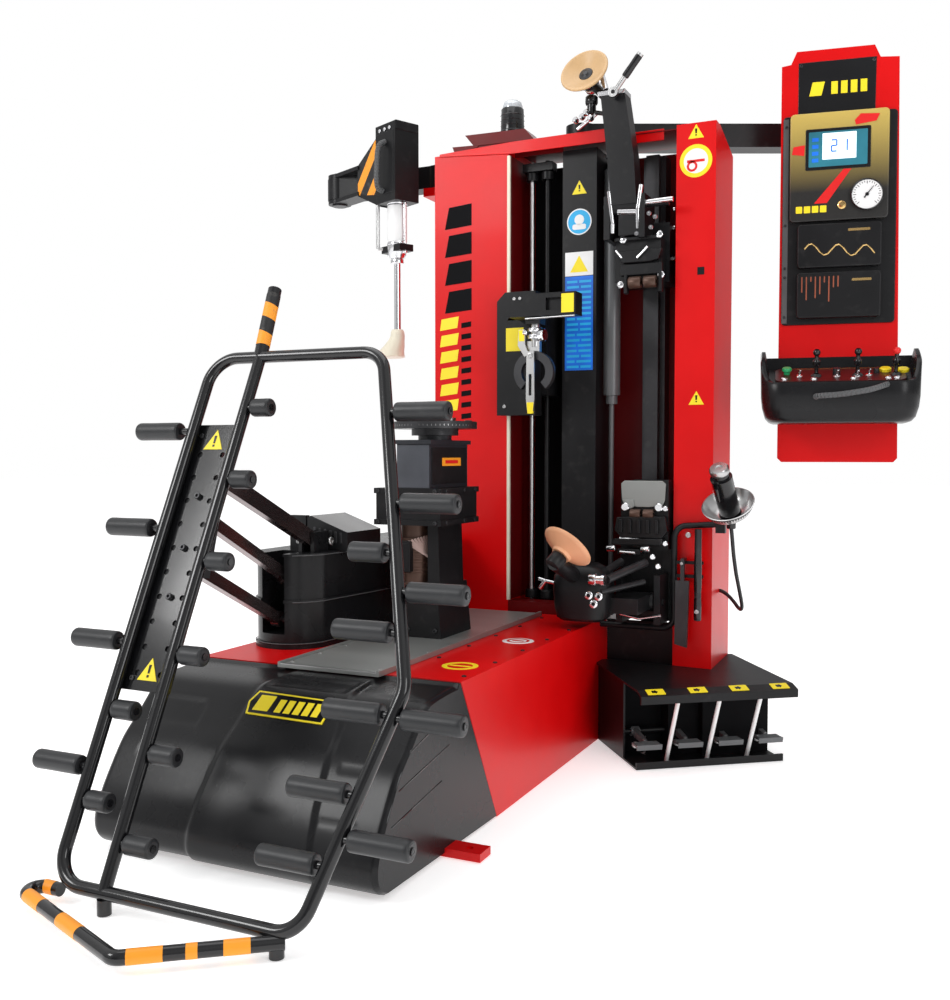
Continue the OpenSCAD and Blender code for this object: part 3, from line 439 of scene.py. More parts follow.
def lathe(profile, matrix=HERE, steps=32, sweep=360):
    """Surface turned round the frame's Z from a profile of (radius, height) points."""
    closed = sweep == 360
    count = steps if closed else steps + 1
    rings = []
    for i in range(count):
        angle = math.radians(sweep) * i / steps
        rings.append([
            bm.verts.new(matrix @ Vector((r * math.cos(angle), r * math.sin(angle), h)))
            for r, h in profile
        ])
    for i in range(steps):
        first, second = rings[i], rings[(i + 1) % count]
        for j in range(len(profile) - 1):
            bm.faces.new([first[j], second[j], second[j + 1], first[j + 1]])
    bmesh.ops.remove_doubles(bm, verts=[v for ring in rings for v in ring], dist=0.0005)


def stud(radius, height):
    """Profile of a plain round head with softened edges."""
    return [(0, 0), (radius - 1, 0), (radius, 2), (radius, height - 2), (radius - 2, height),
            (0, height)]


def bar(start, finish, radius, matrix=HERE, steps=20, ends=1.0):
    """Round bar with slightly rounded ends."""
    start, finish = Vector(start), Vector(finish)
    length = (finish - start).length
    lip = min(ends, radius * 0.4)
    profile = [(0, 0), (radius - lip, 0), (radius, lip), (radius, length - lip),
               (radius - lip, length), (0, length)]
    lathe(profile, matrix @ aimed(start, finish - start), steps)


def prism(outline, bottom, top, matrix=HERE):
    """Flat outline of (x, y) points drawn up from bottom to top."""
    low = [bm.verts.new(matrix @ Vector((x, y, bottom))) for x, y in outline]
    high = [bm.verts.new(matrix @ Vector((x, y, top))) for x, y in outline]
    bm.faces.new(list(reversed(low)))
    bm.faces.new(high)
    count = len(outline)
    for i in range(count):
        j = (i + 1) % count
        bm.faces.new([low[i], low[j], high[j], high[i]])


def tube(path, radius, matrix, steps=14, ends=0.2):
    """Round bars from point to point of a path."""
    for a, b in zip(path, path[1:]):
        bar(a, b, radius, matrix, steps, ends)


def skin(rings):
    """Faces between closed rings of points, with both ends filled."""
    rings = [[bm.verts.new(point) for point in ring] for ring in rings]
    for a, b in zip(rings, rings[1:]):
        for k in range(len(a)):
            j = (k + 1) % len(a)
            bm.faces.new([a[k], a[j], b[j], b[k]])
    bm.faces.new(list(reversed(rings[0])))
    bm.faces.new(rings[-1])


def bolt(place, direction, radius=6, height=5, matrix=HERE):
    """Socket-head screw: a round head with a hollow hexagon in it."""
    own = matrix @ aimed(place, direction)
    lathe([(radius * 0.5, height * 0.4), (radius * 0.5, height), (radius * 0.85, height),
           (radius, height * 0.8), (radius, 0)], own, 16)
    lathe([(0, height * 0.4), (radius * 0.5, height * 0.4)], own, 6)


def rounded(half_x, half_y, corner, steps=5):
    """Outline of a rectangle with round corners, about the origin."""
    points = []
    for sx, sy, first in ((1, 1, 0), (-1, 1, 90), (-1, -1, 180), (1, -1, 270)):
        for i in range(steps + 1):
            angle = math.radians(first + 90 * i / steps)
            points.append((sx * (half_x - corner) + corner * math.cos(angle),
                           sy * (half_y - corner) + corner * math.sin(angle)))
    return points


def piece(name, body, material, bevel=0.0, replaces=(), smooth=40):
    """Ends the open mesh as a piece that rides on a body, and empties the mesh."""
    bmesh.ops.recalc_face_normals(bm, faces=bm.faces)
    bmesh.ops.scale(bm, vec=(MM, MM, MM), verts=bm.verts)
    mesh = bpy.data.meshes.new(name)
    bm.to_mesh(mesh)
    bm.clear()
    mesh.materials.append(MATERIALS[material])
    for face in mesh.polygons:
        face.use_smooth = True
    mesh.set_sharp_from_angle(angle=math.radians(smooth))
    obj = bpy.data.objects.new(name, mesh)
    bpy.context.scene.collection.objects.link(obj)
    if bevel:
        edge = obj.modifiers.new("bevel", "BEVEL")
        edge.width = bevel * MM
        edge.segments = 3
        edge.limit_method = "ANGLE"
        edge.angle_limit = math.radians(40)
        edge.harden_normals = True
    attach(obj, body)
    for node in replaces:
        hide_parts(node)


# ---- Wheel lift ----

ROLLER_ROWS = {
    "left_out": ([242, 525, 802, 1056], -392, -262),
    "left_in": ([174, 372], -214, -154),
}
MIDDLE_ROWS = [101, 288, 507, 727, 930, 1117]
RIGHT_OUT_ROWS = [186, 425, 683, 880, 1099]
RIGHT_IN_ROWS = [132, 269, 429, 595, 766]


def right_tube_x(s):
    return 372 + 122 * s / 483 if s < 483 else 494 - 232 * (s - 483) / 773


def roller_spans():
    """Ends along X and place up the lean of every roller."""
    for rows, x0, x1 in ROLLER_ROWS.values():
        for s in rows:
            yield x0, x1, s
    for s in MIDDLE_ROWS:
        yield -81 + 20 * s / 1256, -10, s
    for s in RIGHT_OUT_ROWS:
        yield right_tube_x(s) + 158, right_tube_x(s) + 24, s
    for s in RIGHT_IN_ROWS:
        yield right_tube_x(s) - (110 if s > 700 else 158), right_tube_x(s) - 24, s


def make_rollers():
    for x0, x1, s in roller_spans():
        low, high = min(x0, x1), max(x0, x1)
        length = high - low
        own = LEAN @ aimed((low, 0, s), (1, 0, 0))
        profile = [(12, 1), (18.4, 1), (20.6, 2.2), (21.7, 5), (21.9, 12), (21.6, length * 0.3),
                   (21.8, length * 0.6), (21.9, length - 12), (21.7, length - 5),
                   (20.6, length - 2.2), (18.4, length - 1), (12, length - 1)]
        lathe(profile, own, 40)
    piece("roller_sleeves", "lift", "rubber", replaces=["rollers"])
    for x0, x1, s in roller_spans():
        for end, way in ((min(x0, x1), -1), (max(x0, x1), 1)):
            cap = LEAN @ aimed((end - way * 2, 0, s), (way, 0, 0))
            lathe([(8.2, 1.5), (14.5, 1.5), (15, 0.5), (15, -2)], cap, 20)
    piece("roller_caps", "lift", "dark_steel")


def sleeve(start, end, low, high, radius, matrix=HERE):
    """Sleeve round a straight tube, between two distances from its start."""
    start, end = Vector(start), Vector(end)
    way = (end - start).normalized()
    lathe([(radius - 1, 0), (radius, 0.4), (radius, high - low - 0.4), (radius - 1, high - low)],
          matrix @ aimed(start + way * low, way), 36)


def make_lift_details():
    for x0, x1, s in roller_spans():
        tip = x0 if abs(x0 - 60) > abs(x1 - 60) or x0 < -200 else x1
        way = 1 if tip > (x0 + x1) / 2 else -1
        bolt((tip + way * 0.5, 0, s), (way, 0, 0), 7.5, 2, LEAN)
    for s in (640, 760, 890):
        bolt((-164, 15, s), (0, -1, 0), 8, 9, LEAN)
    for s in (447, 1050):
        bolt((-206, 15, s), (0, -1, 0), 6, 4, LEAN)
    piece("lift_bolts", "lift", "dark_steel")
    box((-206, 19.2, 446), (-186, 20.4, 1056), LEAN)
    box((-140, 19.2, 446), (-120, 20.4, 890), LEAN)
    piece("lift_plate_backing", "lift", "black")
    for s in (466, 1036):
        prism([(-28, -22), (28, -22), (0, 30)], 0, 1.2, LEAN @ upright(-163, 15, s))
    piece("lift_signs", "lift", "yellow")
    for s in (466, 1036):
        own = LEAN @ upright(-163, 15, s)
        prism([(-2.6, -6), (2.6, -6), (3.4, 14), (-3.4, 14)], 1.0, 2.0, own)
        prism([(-3, -15), (3, -15), (3, -9.5), (-3, -9.5)], 1.0, 2.0, own)
    piece("lift_sign_marks", "lift", "gloss_black")
    sleeve((-84, 0, 1256), (-97, 0, 1450), 30, 178, 17.6, LEAN)
    piece("handle_sleeve", "lift", "handle_hazard", smooth=60)
    corners_of_loop = [(-236, -1366, 30), (-300, -1366, 30), (-276, -1412, 30),
                       (98, -1552, 30), (345, -1366, 30)]
    for leg, spans in enumerate((((4, 34),), (), ((14, 88), (176, 262)),
                                 ((22, 88), (128, 150), (196, 246)))):
        for low, high in spans:
            sleeve(corners_of_loop[leg], corners_of_loop[leg + 1], low, high, 14.9)
    piece("loop_bands", "lift", "orange", smooth=60)


# ---- Base and front cover ----

COVER_PROFILE = [(-703, 396), (-780, 394), (-862, 386), (-903, 361), (-957, 308), (-1012, 257),
                 (-1068, 177), (-1098, 123), (-1113, 80), (-1109, 42), (-1088, 16), (-1062, 3)]


def smooth_line(points, steps=4):
    """Catmull-Rom curve through a list of points."""
    ends = [points[0]] + list(points) + [points[-1]]
    line = []
    for i in range(len(points) - 1):
        p = [Vector(q) for q in ends[i:i + 4]]
        for k in range(steps):
            t = k / steps
            line.append(0.5 * (2 * p[1] + (p[2] - p[0]) * t
                               + (2 * p[0] - 5 * p[1] + 4 * p[2] - p[3]) * t * t
                               + (3 * p[1] - p[0] - 3 * p[2] + p[3]) * t ** 3))
    return line + [Vector(points[-1])]


def ease(value, low, high):
    """Smooth step from 0 below low to 1 above high."""
    t = min(1, max(0, (value - low) / (high - low)))
    return t * t * (3 - 2 * t)


def cover_sink(x, share):
    """How far the cover's skin lies inside its outer surface, at x and along its profile."""
    half = 110 + 60 * share
    bonnet = ease(x, 60 - half - 12, 60 - half) * (1 - ease(x, 60 + half, 60 + half + 12))
    pads = 0.0
    for low, high, start, stop in ((-340, -190, 0.34, 0.46), (-330, -215, 0.56, 0.585),
                                   (240, 372, 0.22, 0.24), (235, 330, 0.52, 0.55),
                                   (225, 330, 0.72, 0.74)):
        inside = ease(x, low, low + 8) * (1 - ease(x, high - 8, high))
        inside *= ease(share, start, start + 0.012) * (1 - ease(share, stop - 0.012, stop))
        pads = max(pads, inside)
    badge = ease(x, -52, -44) * (1 - ease(x, 164, 172))
    badge *= ease(share, 0.14, 0.15) * (1 - ease(share, 0.245, 0.255))
    end = 7 * (ease(abs(x), 378, 393)) ** 2
    return 6 * (1 - bonnet) + 2.5 * pads + 3 * badge + end


def make_front_cover():
    """Moulded cover with a raised bonnet, recessed pads and a grooved grey side panel."""
    line = smooth_line(COVER_PROFILE, 8)
    lengths = [0.0]
    for a, b in zip(line, line[1:]):
        lengths.append(lengths[-1] + (b - a).length)
    low, high = corners("front_cover")
    count = 157
    rows = []
    for i in range(count):
        x = low.x + (high.x - low.x) * i / (count - 1)
        row = []
        for j, point in enumerate(line):
            before, after = line[max(0, j - 1)], line[min(len(line) - 1, j + 1)]
            out = Vector((after.y - before.y, -(after.x - before.x))).normalized()
            share = lengths[j] / lengths[-1]
            spot = point - out * cover_sink(x, share) if share > 0.02 else point.copy()
            row.append(bm.verts.new((x, spot.x, spot.y)))
        rows.append(row)
    for a, b in zip(rows, rows[1:]):
        for j in range(len(line) - 1):
            bm.faces.new([a[j], b[j], b[j + 1], a[j + 1]])
    for row, way in ((rows[0], 1), (rows[-1], -1)):
        rim = row + [bm.verts.new((row[0].co.x, -487, 3))]
        bm.faces.new(rim if way > 0 else list(reversed(rim)))
    piece("front_cover_skin", "machine", "cover", replaces=["front_cover"], smooth=50)
    outline = [(-716, 372), (-858, 366), (-896, 346), (-1004, 250), (-1056, 175), (-1086, 118),
               (-1100, 78), (-1094, 44), (-1074, 22), (-520, 22)]
    side = Matrix(((0, 0, 1, 0), (1, 0, 0, 0), (0, 1, 0, 0), (0, 0, 0, 1)))
    prism(outline, high.x - 3, high.x - 0.6, side)
    piece("cover_side_panel", "machine", "grey_panel", bevel=2)
    for k, (start, stop) in enumerate((((-960, 292), (-770, 336)), ((-1016, 220), (-760, 262)),
                                       ((-1050, 150), (-800, 186)))):
        direction = Vector((0, stop[0] - start[0], stop[1] - start[1]))
        own = aimed((high.x - 1.4, start[0], start[1]), direction)
        lathe([(0, 0), (2.6, 6), (2.6, direction.length - 6), (0, direction.length)], own, 8)
    for y, z in ((-742, 330), (-690, 150), (-640, 230), (-800, 60), (-560, 60)):
        bolt((high.x - 3, y, z), (1, 0, 0), 5, 2.8)
    piece("cover_grooves", "machine", "gloss_black")
    slope = at(46, -919, 349) @ turn(44, "X")
    prism([(-112, -30), (106, -34), (114, 30), (-104, 36), (-120, 4)], -8, 0.5, slope)
    piece("badge_rim", "machine", "yellow")
    prism([(-107, -26), (102, -30), (108, 26), (-100, 31), (-114, 3)], 0.3, 1.4, slope)
    piece("badge_plate", "machine", "gloss_black")
    prism([(-98, -19), (-54, -19), (-46, 24), (-90, 24)], 1.2, 2, slope)
    for k in range(5):
        x = -36 + k * 26
        prism([(x, -19), (x + 18, -19), (x + 23, 17), (x + 5, 17)], 1.2, 2, slope)
    piece("badge_blocks", "machine", "yellow")


def make_base_details():
    top = corners("base_frame")[1].z
    for y in range(-640, 360, 190):
        for x in (-124, 206, 372):
            bolt((x, y, top), (0, 0, 1), 6, 3)
    piece("base_screws", "machine", "dark_steel")
    lathe([(0, 0.6), (46, 0.6), (47, 0)], at(301, -122, top), 40)
    piece("base_mark_white", "machine", "white")
    lathe([(26, 0.7), (26, 1.1), (34, 1.1), (34, 0.7)], at(301, -122, top), 40)
    box((283, -128, top + 0.7), (319, -116, top + 1.1))
    piece("base_mark_red", "machine", "button_red")
    lathe([(34, 0), (34, 0.8), (48, 0.8), (48, 0)], at(306, -526, top), 40)
    box((276, -532, top), (336, -520, top + 0.8))
    piece("base_mark_gold", "machine", "yellow")
    plate_low, plate_high = corners("slide_plate")
    box((plate_low.x + 1, plate_low.y + 0.5, top + 9.2),
        (plate_high.x - 1, plate_low.y + 7, top + 11.5))
    for y in range(-700, 340, 130):
        for x in (-96, 168):
            bolt((x, y, top + 9), (0, 0, 1), 6, 3)
    piece("slide_lips", "table_slide", "steel")


# ---- Column ----


COLUMN_FRONT = 400
MAST_LABEL = upright(284, 450, 1434)
MAST_DISC = upright(284, 450, 1735)


def sign_plate(matrix, size):
    """Warning triangle."""
    prism([(-size / 2, -size * 0.42), (size / 2, -size * 0.42), (0, size * 0.46)], 0, 1.0, matrix)


def sign_mark(matrix):
    """Plain stroke and dot for a warning triangle."""
    prism([(-2.4, -6), (2.4, -6), (3.4, 9), (-3.4, 9)], 0.8, 1.5, matrix)
    prism([(-2.6, -13), (2.6, -13), (2.6, -9), (-2.6, -9)], 0.8, 1.5, matrix)


def make_column_details():
    left_high = corners("left_post")[1]
    front = COLUMN_FRONT
    signs = [(upright(692, front, 1972), 50), (upright(700, front, 1128), 50),
             (upright(284, 450, 1850), 52), (upright(100, 330, 1424), 58)]
    for own, size in signs:
        sign_plate(own, size)
    sign = upright(692, front, 1880)
    lathe([(39, 0), (39, 1), (52, 1), (52, 0)], sign, 44)
    piece("column_signs", "machine", "yellow")
    for own, size in signs:
        sign_mark(own)
    box((700, front - 1.2, 1520), (722, front + 2, 1544))
    piece("column_sign_marks", "machine", "gloss_black")
    lathe([(0, 0.7), (39, 0.7), (39, 0)], sign, 44)
    lathe([(40, 0), (40, 1.2), (44, 1.2), (44, 0)], MAST_DISC, 40)
    prism([(-50, 120), (50, 120), (50, 200), (-50, 200)], 0, 1, MAST_LABEL)
    piece("column_white_marks", "machine", "white")
    for row in range(17):
        z = 104 - row * 18
        split = -6 + 9 * math.sin(2.4 * row)
        prism([(-43, z), (split, z), (split, z - 8), (-43, z - 8)], 0.8, 1.4, MAST_LABEL)
        prism([(split + 7, z), (43, z), (43, z - 8), (split + 7, z - 8)], 0.8, 1.4, MAST_LABEL)
    piece("mast_label_lines", "machine", "cyan")
    box((664, front - 1.4, 1876), (720, front - 0.6, 1884))
    lathe([(10, 0.8), (10, 1.4), (17, 1.4), (17, 0.8)], upright(680, front, 1864), 24)
    piece("round_sign_mark", "machine", "button_red")
    lathe([(0, 1), (40, 1), (40, 0)], MAST_DISC, 40)
    piece("mast_round_label", "machine", "cyan")
    lathe([(0, 1.6), (17, 1.6), (17, 1)], upright(284, 450, 1742), 28)
    prism(rounded(24, 9, 6), 0.9, 1.6, upright(284, 450, 1718))
    piece("mast_round_mark", "machine", "white")
    prism([(-50, -200), (50, -200), (50, 118), (-50, 118)], 0, 1, MAST_LABEL)
    piece("mast_blue_labels", "machine", "blue")
    prism([(-32, 132), (32, 132), (0, 188)], 1.0, 1.6, MAST_LABEL)
    piece("mast_caution", "machine", "yellow")
    own = upright(0, front, 0)
    for k in range(4):
        z = 1446 + k * 98
        prism([(-200, z), (-96, z + 8), (-96, z + 84), (-184, z + 76)], 0, 0.8, own)
    for k in range(9):
        z = 1072 + k * 40
        prism([(-136, z), (-98, z + 4), (-98, z + 22), (-136, z + 18)], 0, 0.8, own)
    piece("post_dark_bands", "machine", "dark")
    for k in range(6):
        z = 1096 + k * 58
        prism([(-220, z), (-152, z + 8), (-146, z + 48), (-214, z + 40)], 0, 0.8, own)
    piece("post_gold_bands", "machine", "yellow")
    box((394, 438.6, 2), (627.5, 440.5, 392))
    box((394, 438.6, 329.6), (627.5, 640, 331.4))
    piece("foot_box_skin", "machine", "black", bevel=0.5)
    # Pale strip down the left post's edge: painted highlight
    box((left_high.x - 5, front - 1.2, 440), (left_high.x + 6, front + 8, 1972))
    piece("post_edge_painted_highlight", "machine", "ivory", bevel=1)
    # Inner face of the red left post drawn in darker red: painted shade
    box((left_high.x, front + 10, 440), (left_high.x + 1.5, 640, 1976))
    piece("left_bay_wall_painted_shade", "machine", "dark_red_and_shade", bevel=0.4)
    prism([(-219, 1996), (60, 1976), (415, 1976), (415, 2018), (60, 2016), (-219, 2005)], 0, 5,
          upright(0, front, 0))
    box((410, 449, 1974), (574, 455, 2010))
    box((-219, 402, 2001), (415, 450, 2005))
    piece("top_board", "machine", "red", bevel=1)
    # Near-black sheet at the back of the left bay: painted shade
    box((46, 648, 400), (222, 651.5, 1976))
    piece("left_bay_back_painted_shade", "machine", "dark", bevel=0.5)
    for z in (440, 1900):
        for x in (92, 150):
            lathe([(9.2, 0), (22, 0), (22, 26), (18, 30), (9.2, 30)], at(x, 500, z), 24)
    box((64, 478, 1930), (176, 522, 1958))
    piece("rod_collars", "machine", "black", bevel=1)
    for name, x, material, nodes in (("front_rod", 92, "steel", ["guide_rods"]),
                                     ("rear_rod", 150, "black", [])):
        lathe([(0, 398.5), (9, 398.5), (9, 1966), (0, 1966)], at(x, 500), 28)
        piece(name, "machine", material, replaces=nodes)


def make_beacon():
    flat = upright(0, 452, 0)
    prism([(-112, 2036), (120, 2030), (82, 2073), (-146, 2077)], -100, 1.5, flat)
    prism([(-186, 2016), (-96, 2030), (-94, 2038), (-196, 2042)], -100, 1.5, flat)
    prism([(-120, 2006), (90, 2006), (90, 2034), (-100, 2038)], -96, -2, flat)
    piece("beacon_hat", "machine", "dark_red_and_shade", bevel=1, replaces=["beacon_bracket"])
    low, high = corners("beacon")
    centre = (low + high) / 2
    own = at(centre.x, centre.y)
    base = low.z
    lathe([(0, base), (46, base), (46, base + 8), (42, base + 12), (41, base + 84),
           (38, base + 88), (0, base + 88)], own, 48)
    for k in range(3):
        lathe([(41, base + 26 + 18 * k), (42.5, base + 28 + 18 * k), (41, base + 30 + 18 * k)],
              own, 48)
    piece("beacon_body", "machine", "gloss_black", replaces=["beacon"])
    lathe([(36, base + 88), (36, base + 98), (33, base + 108), (24, base + 115), (10, base + 119),
           (0, base + 119.6)], own, 40)
    piece("beacon_dome", "machine", "clear")


# ---- Wheel table ----


def make_casing_details():
    low = corners("lift_casing")[0]
    for z in (low.z + 12.3, low.z + 130, low.z + 262):
        nose = [round_point(180 + 15 * k, 115.8, 0) + Vector((-278, -420, 0)) for k in range(12)]
        points = [(-393, 350)] + [(point.x, point.y) for point in nose]
        points += [(-163, -420), (-125, -60), (-125, 350)]
        for a, b in zip(points, points[1:]):
            # The arms' slot stays open
            in_slot = -345 < (a[0] + b[0]) / 2 < -225 and b[1] < -400 and z > 440
            if not in_slot:
                bar((*a, z + 3), (*b, z + 3), 1.6, steps=6, ends=0.2)
    piece("casing_rims", "machine", "grey_panel")
    for y in (-300, -100, 120, 320):
        bolt((-129, y, low.z + 6), (1, 0, 0), 6, 3.8)
    for x, way in ((-246, -1), (-156, 1)):
        bolt((x, -420, 700), (way, 0, 0), 12, 4)
    for z in (690, 740):
        bolt((-300, -372, z), (0, -1, 0), 7, 4)
    piece("casing_bolts", "machine", "steel")
    for k in range(6):
        x = -248 + k * 18
        box((x, -371.5, 690), (x + 8, -369, 735 - k * 3))
    piece("motor_vents", "machine", "dark_steel", bevel=1)
    box((-326, -368, 690), (-282, -356, 764))
    piece("motor_bracket", "machine", "steel", bevel=2)


MOTOR_X, MOTOR_Y = -12, -176


def make_tower_details():
    # The gearbox's front face is drawn in a lighter blue-grey: painted reflection
    for name, material, low, high, bevel in (
            ("gearbox_front_painted_reflection", "gear_face_painted_reflection", (-11, -291.4, 852), (94, -289.5, 976), 0.5),
            ("gearbox_side", "black", (95.5, -280, 862), (98, -50, 968), 0.8),
            ("gearbox_label", "orange", (97.6, -216, 914), (98.8, -92, 938), 0),
            ("gearbox_label_mark", "button_red", (98.4, -196, 921), (99.3, -112, 931), 0)):
        box(low, high)
        piece(name, "table_slide", material, bevel)
    for k in range(9):
        z = 592 + 10 * k
        lathe([(52, z), (53.6, z + 1.5), (53.6, z + 4), (52, z + 5.5)], at(MOTOR_X, MOTOR_Y), 40)
    piece("motor_fins", "table_slide", "copper")
    for i in range(9):
        way = round_point(303 + 6 * i, 1, 0)
        box((-42, -3.4, 0), (42, 3.4, 1.2),
            aimed(Vector((MOTOR_X, MOTOR_Y, 666)) + 53.4 * way, way))
    piece("motor_tag", "table_slide", "tag_paper")
    box((-34, -246, 600), (6, -214, 692))
    box((-30, -247.5, 606), (2, -245, 686))
    piece("motor_box", "table_slide", "black", bevel=3)
    for x in (-76, 112):
        for z in (750, 842):
            bolt((x, -290, z), (0, -1, 0), 6, 4)
    for y in (-255, -136, -61):
        for z in (750, 842):
            bolt((131, y, z), (1, 0, 0), 6, 4)
    for x in (-4, 86):
        bolt((x, -240, 430), (0, -1, 0), 7, 5)
    piece("tower_bolts", "table_slide", "dark_steel")
    spot = joint_place("table_spin")
    own = at(spot.x, spot.y)
    lathe([(18, 1045), (62, 1045), (63, 1047), (88, 1047), (89, 1045.2), (121, 1045.2),
           (125.8, 1042), (125.8, 1027), (123, 1024.2), (70, 1024.2)], own, 64)
    for k in range(4):
        bolt(own @ round_point(45 + 90 * k, 105, 1045), (0, 0, 1), 12, 6)
    piece("flange_face", "table", "dark_steel")
    lathe([(125.9, 1030), (126, 1031), (126, 1036), (125.9, 1037)], own, 64)
    for k in range(3):
        bolt(own @ round_point(120 * k, 47, 1057), (0, 0, 1), 8, 4)
    piece("flange_edge", "table", "steel")


# ---- Tool carriage ----


def make_tool_details():
    sign_plate(upright(100, 330, 1424), 58)
    box((66, 328.8, 1296), (130, 330.5, 1374))
    box((304, 223.8, 1402), (346, 225.4, 1462))
    piece("tool_labels", "tool_slide", "yellow")
    sign_mark(upright(100, 330, 1424))
    piece("tool_label_marks", "tool_slide", "gloss_black")
    lathe([(0, 0), (20, 0), (21, 3), (21, 15), (18, 18), (0, 18)],
          aimed((222, 250, 1336), (1, -0.2, 0)), 24)
    for z in (1326, 1348):
        lathe([(14.2, z), (23, z), (24.5, z + 3), (24.5, z + 11), (22, z + 14), (14.2, z + 14)],
              at(200, 262), 28)
    lathe(stud(10, 14), aimed((176, 248, 1346), (-1, -0.3, 0)), 20)
    piece("hook_knobs", "hook", "chrome")
    own = at(197, 262, 1217) @ turn(90, "X")
    start = turn(-52)
    lathe([(42.5, -12), (69, -12), (70, -9), (70, 9), (69, 12), (42.5, 12), (42, 9), (42, -9),
           (42.5, -12)], own @ start, 60, sweep=284)
    piece("hook_ring_skin", "hook", "dark_steel", replaces=["mount_hook"])
    place = at(200, 262)
    lathe([(0, 1300), (14, 1300), (14, 1418), (0, 1418)], place, 28)
    box((174, 252, 1280), (218, 272, 1318))
    bar((192, 252, 1270), (192, 234, 1270), 5)
    piece("hook_stem", "hook", "steel", bevel=1)
    prism([(-11, 60), (11, 60), (12, 10), (26, -22), (10, -30), (-14, 8)], 0, 6,
          upright(160, 246, 1296))
    piece("hook_side_lever", "hook", "steel", bevel=1)
    box((150, 239.2, 1318), (170, 240.6, 1354))
    piece("hook_lever_tip", "hook", "yellow")
    prism([(-9.2, 1081), (9.2, 1081), (12.4, 1118), (-12.4, 1118)], 0, 8.2,
          upright(192, 243.6, 0))
    piece("lever_tip", "lever", "yellow", bevel=1)
    bolt((192, 236, 1270), (0, -1, 0), 9, 4)
    piece("lever_pin", "lever", "steel")
    for z in (1110, 1470):
        for x in (150, 60 if z < 1200 else 90):
            bolt((x, 330, z), (0, -1, 0), 6, 4)
    for x in (140, 160):
        bolt((x, 225, 1455), (0, -1, 0), 5, 3.5)
    bar((176, 232, 1389), (348, 229, 1391), 4)
    piece("tool_bolts", "tool_slide", "steel")


# ---- Bead discs ----


def make_disc(node, body, joint, material="tan"):
    """Turned nylon disc with fine rings, and a dark cap over its bearing."""
    own = aimed(joint_place(joint), JOINTS[joint]["axis"])
    profile = [(10.2, -21.5), (30, -21.5), (33, -12), (74, 7), (81, 13), (82.6, 17), (81, 20.5),
               (76, 21.6)]
    rings = 9
    for i in range(rings):
        radius = 74 - (74 - 38) * i / rings
        height = 20.6 - 14 * i / rings
        profile += [(radius, height), (radius - 3, height - 0.6)]
    profile += [(36, 6), (28, 2), (10.2, 2)]
    lathe(profile, own, 72)
    piece(node + "_nylon", body, material, replaces=[node])
    lathe([(0, 9), (8, 9), (11, 6), (22, 4.5), (24, 2.2), (10.2, 2.2)], own, 36)
    piece(node + "_cap", body, "dark_steel")


def make_upper_details():
    own = aimed(joint_place("upper_disc_spin"), JOINTS["upper_disc_spin"]["axis"])
    lathe([(27, -60), (31, -58), (31, -50), (27, -48)], own, 28)
    lathe([(27, -36), (30, -34), (30, -28), (27, -26)], own, 28)
    bar((375, 372, 2222), (408, 352, 2128), 9)
    bar((356, 392, 2226), (384, 376, 2232), 11)
    box((392, 316, 2098), (482, 384, 2112))
    piece("upper_fork", "upper_beam", "chrome", bevel=1.2)
    bar((352, 372, 2096), (352, 372, 2062), 15)
    lathe([(0, 0), (19, 0), (21, 4), (21, 22), (17, 27), (0, 27)], at(352, 372, 2094), 28)
    bar((352, 372, 2070), (410, 358, 2052), 7)
    piece("upper_knob", "upper_beam", "gloss_black")
    for dx, dz in ((-22, 2048), (-44, 2040), (8, 2040), (-8, 2060)):
        lathe(stud(10, 16), aimed((352 + dx, 356, dz), (-0.4, -1, 0.5)), 18)
    bar((300, 380, 2022), (372, 372, 2064), 6)
    piece("upper_fittings", "upper_beam", "chrome")
    tip = Vector((458, 293, 2100))
    way = Vector((0.62, 0, 0.78)).normalized()
    lathe([(8.2, 48), (11.4, 50), (11.8, 64), (11.2, 90), (11.8, 120), (10, 131), (0, 132)],
          aimed(tip, way), 24)
    piece("release_grip", "release", "gloss_black")
    for x, z in ((462, 1496), (596, 1520), (470, 1640), (590, 1648)):
        lathe([(0, 0), (10, 0), (11, 2), (11, 14), (8, 16), (0, 16)],
              aimed((x, 358, z), (0, -1, 0)), 20)
    bar((444, 336, 1748), (636, 336, 1752), 9)
    bar((456, 334, 1728), (530, 334, 1722), 11)
    bar((536, 322, 1804), (524, 326, 1730), 8)
    bar((524, 326, 1730), (524, 330, 1668), 7)
    bar((430, 318, 1792), (440, 330, 1690), 7)
    bar((440, 330, 1690), (438, 334, 1660), 9)
    for z in (1600, 1700, 1760):
        bolt((604, 470, z - 10), (1, 0, 0), 8, 6)
    for x, z in ((560, 1712), (580, 1700), (566, 1668), (520, 1652)):
        bolt((x, 330, z), (0.2, -1, 0), 8, 8)
    bar((556, 330, 1610), (520, 332, 1576), 4)
    bar((448, 340, 1606), (470, 336, 1580), 4)
    piece("upper_carriage_bolts", "upper_slide", "chrome")
    for x in (492, 542):
        lathe([(6, 0), (17, 0), (19, 3), (19, 37), (17, 40), (6, 40)],
              aimed((x, 342, 1500), (1, 0, 0)), 24)
    piece("upper_guide_rollers", "upper_slide", "copper")
    box((458, 330, 1650), (536, 358, 1722))
    box((462, 342, 1524), (600, 361, 1560))
    box((440, 344, 1636), (590, 361, 1648))
    box((474, 340, 1466), (486, 362, 1530))
    box((588, 340, 1466), (600, 362, 1530))
    prism([(440, 1600), (600, 1604), (588, 1570), (560, 1564), (470, 1564)], 0, 24,
          upright(0, 361, 0))
    piece("upper_carriage_plates", "upper_slide", "black", bevel=3)


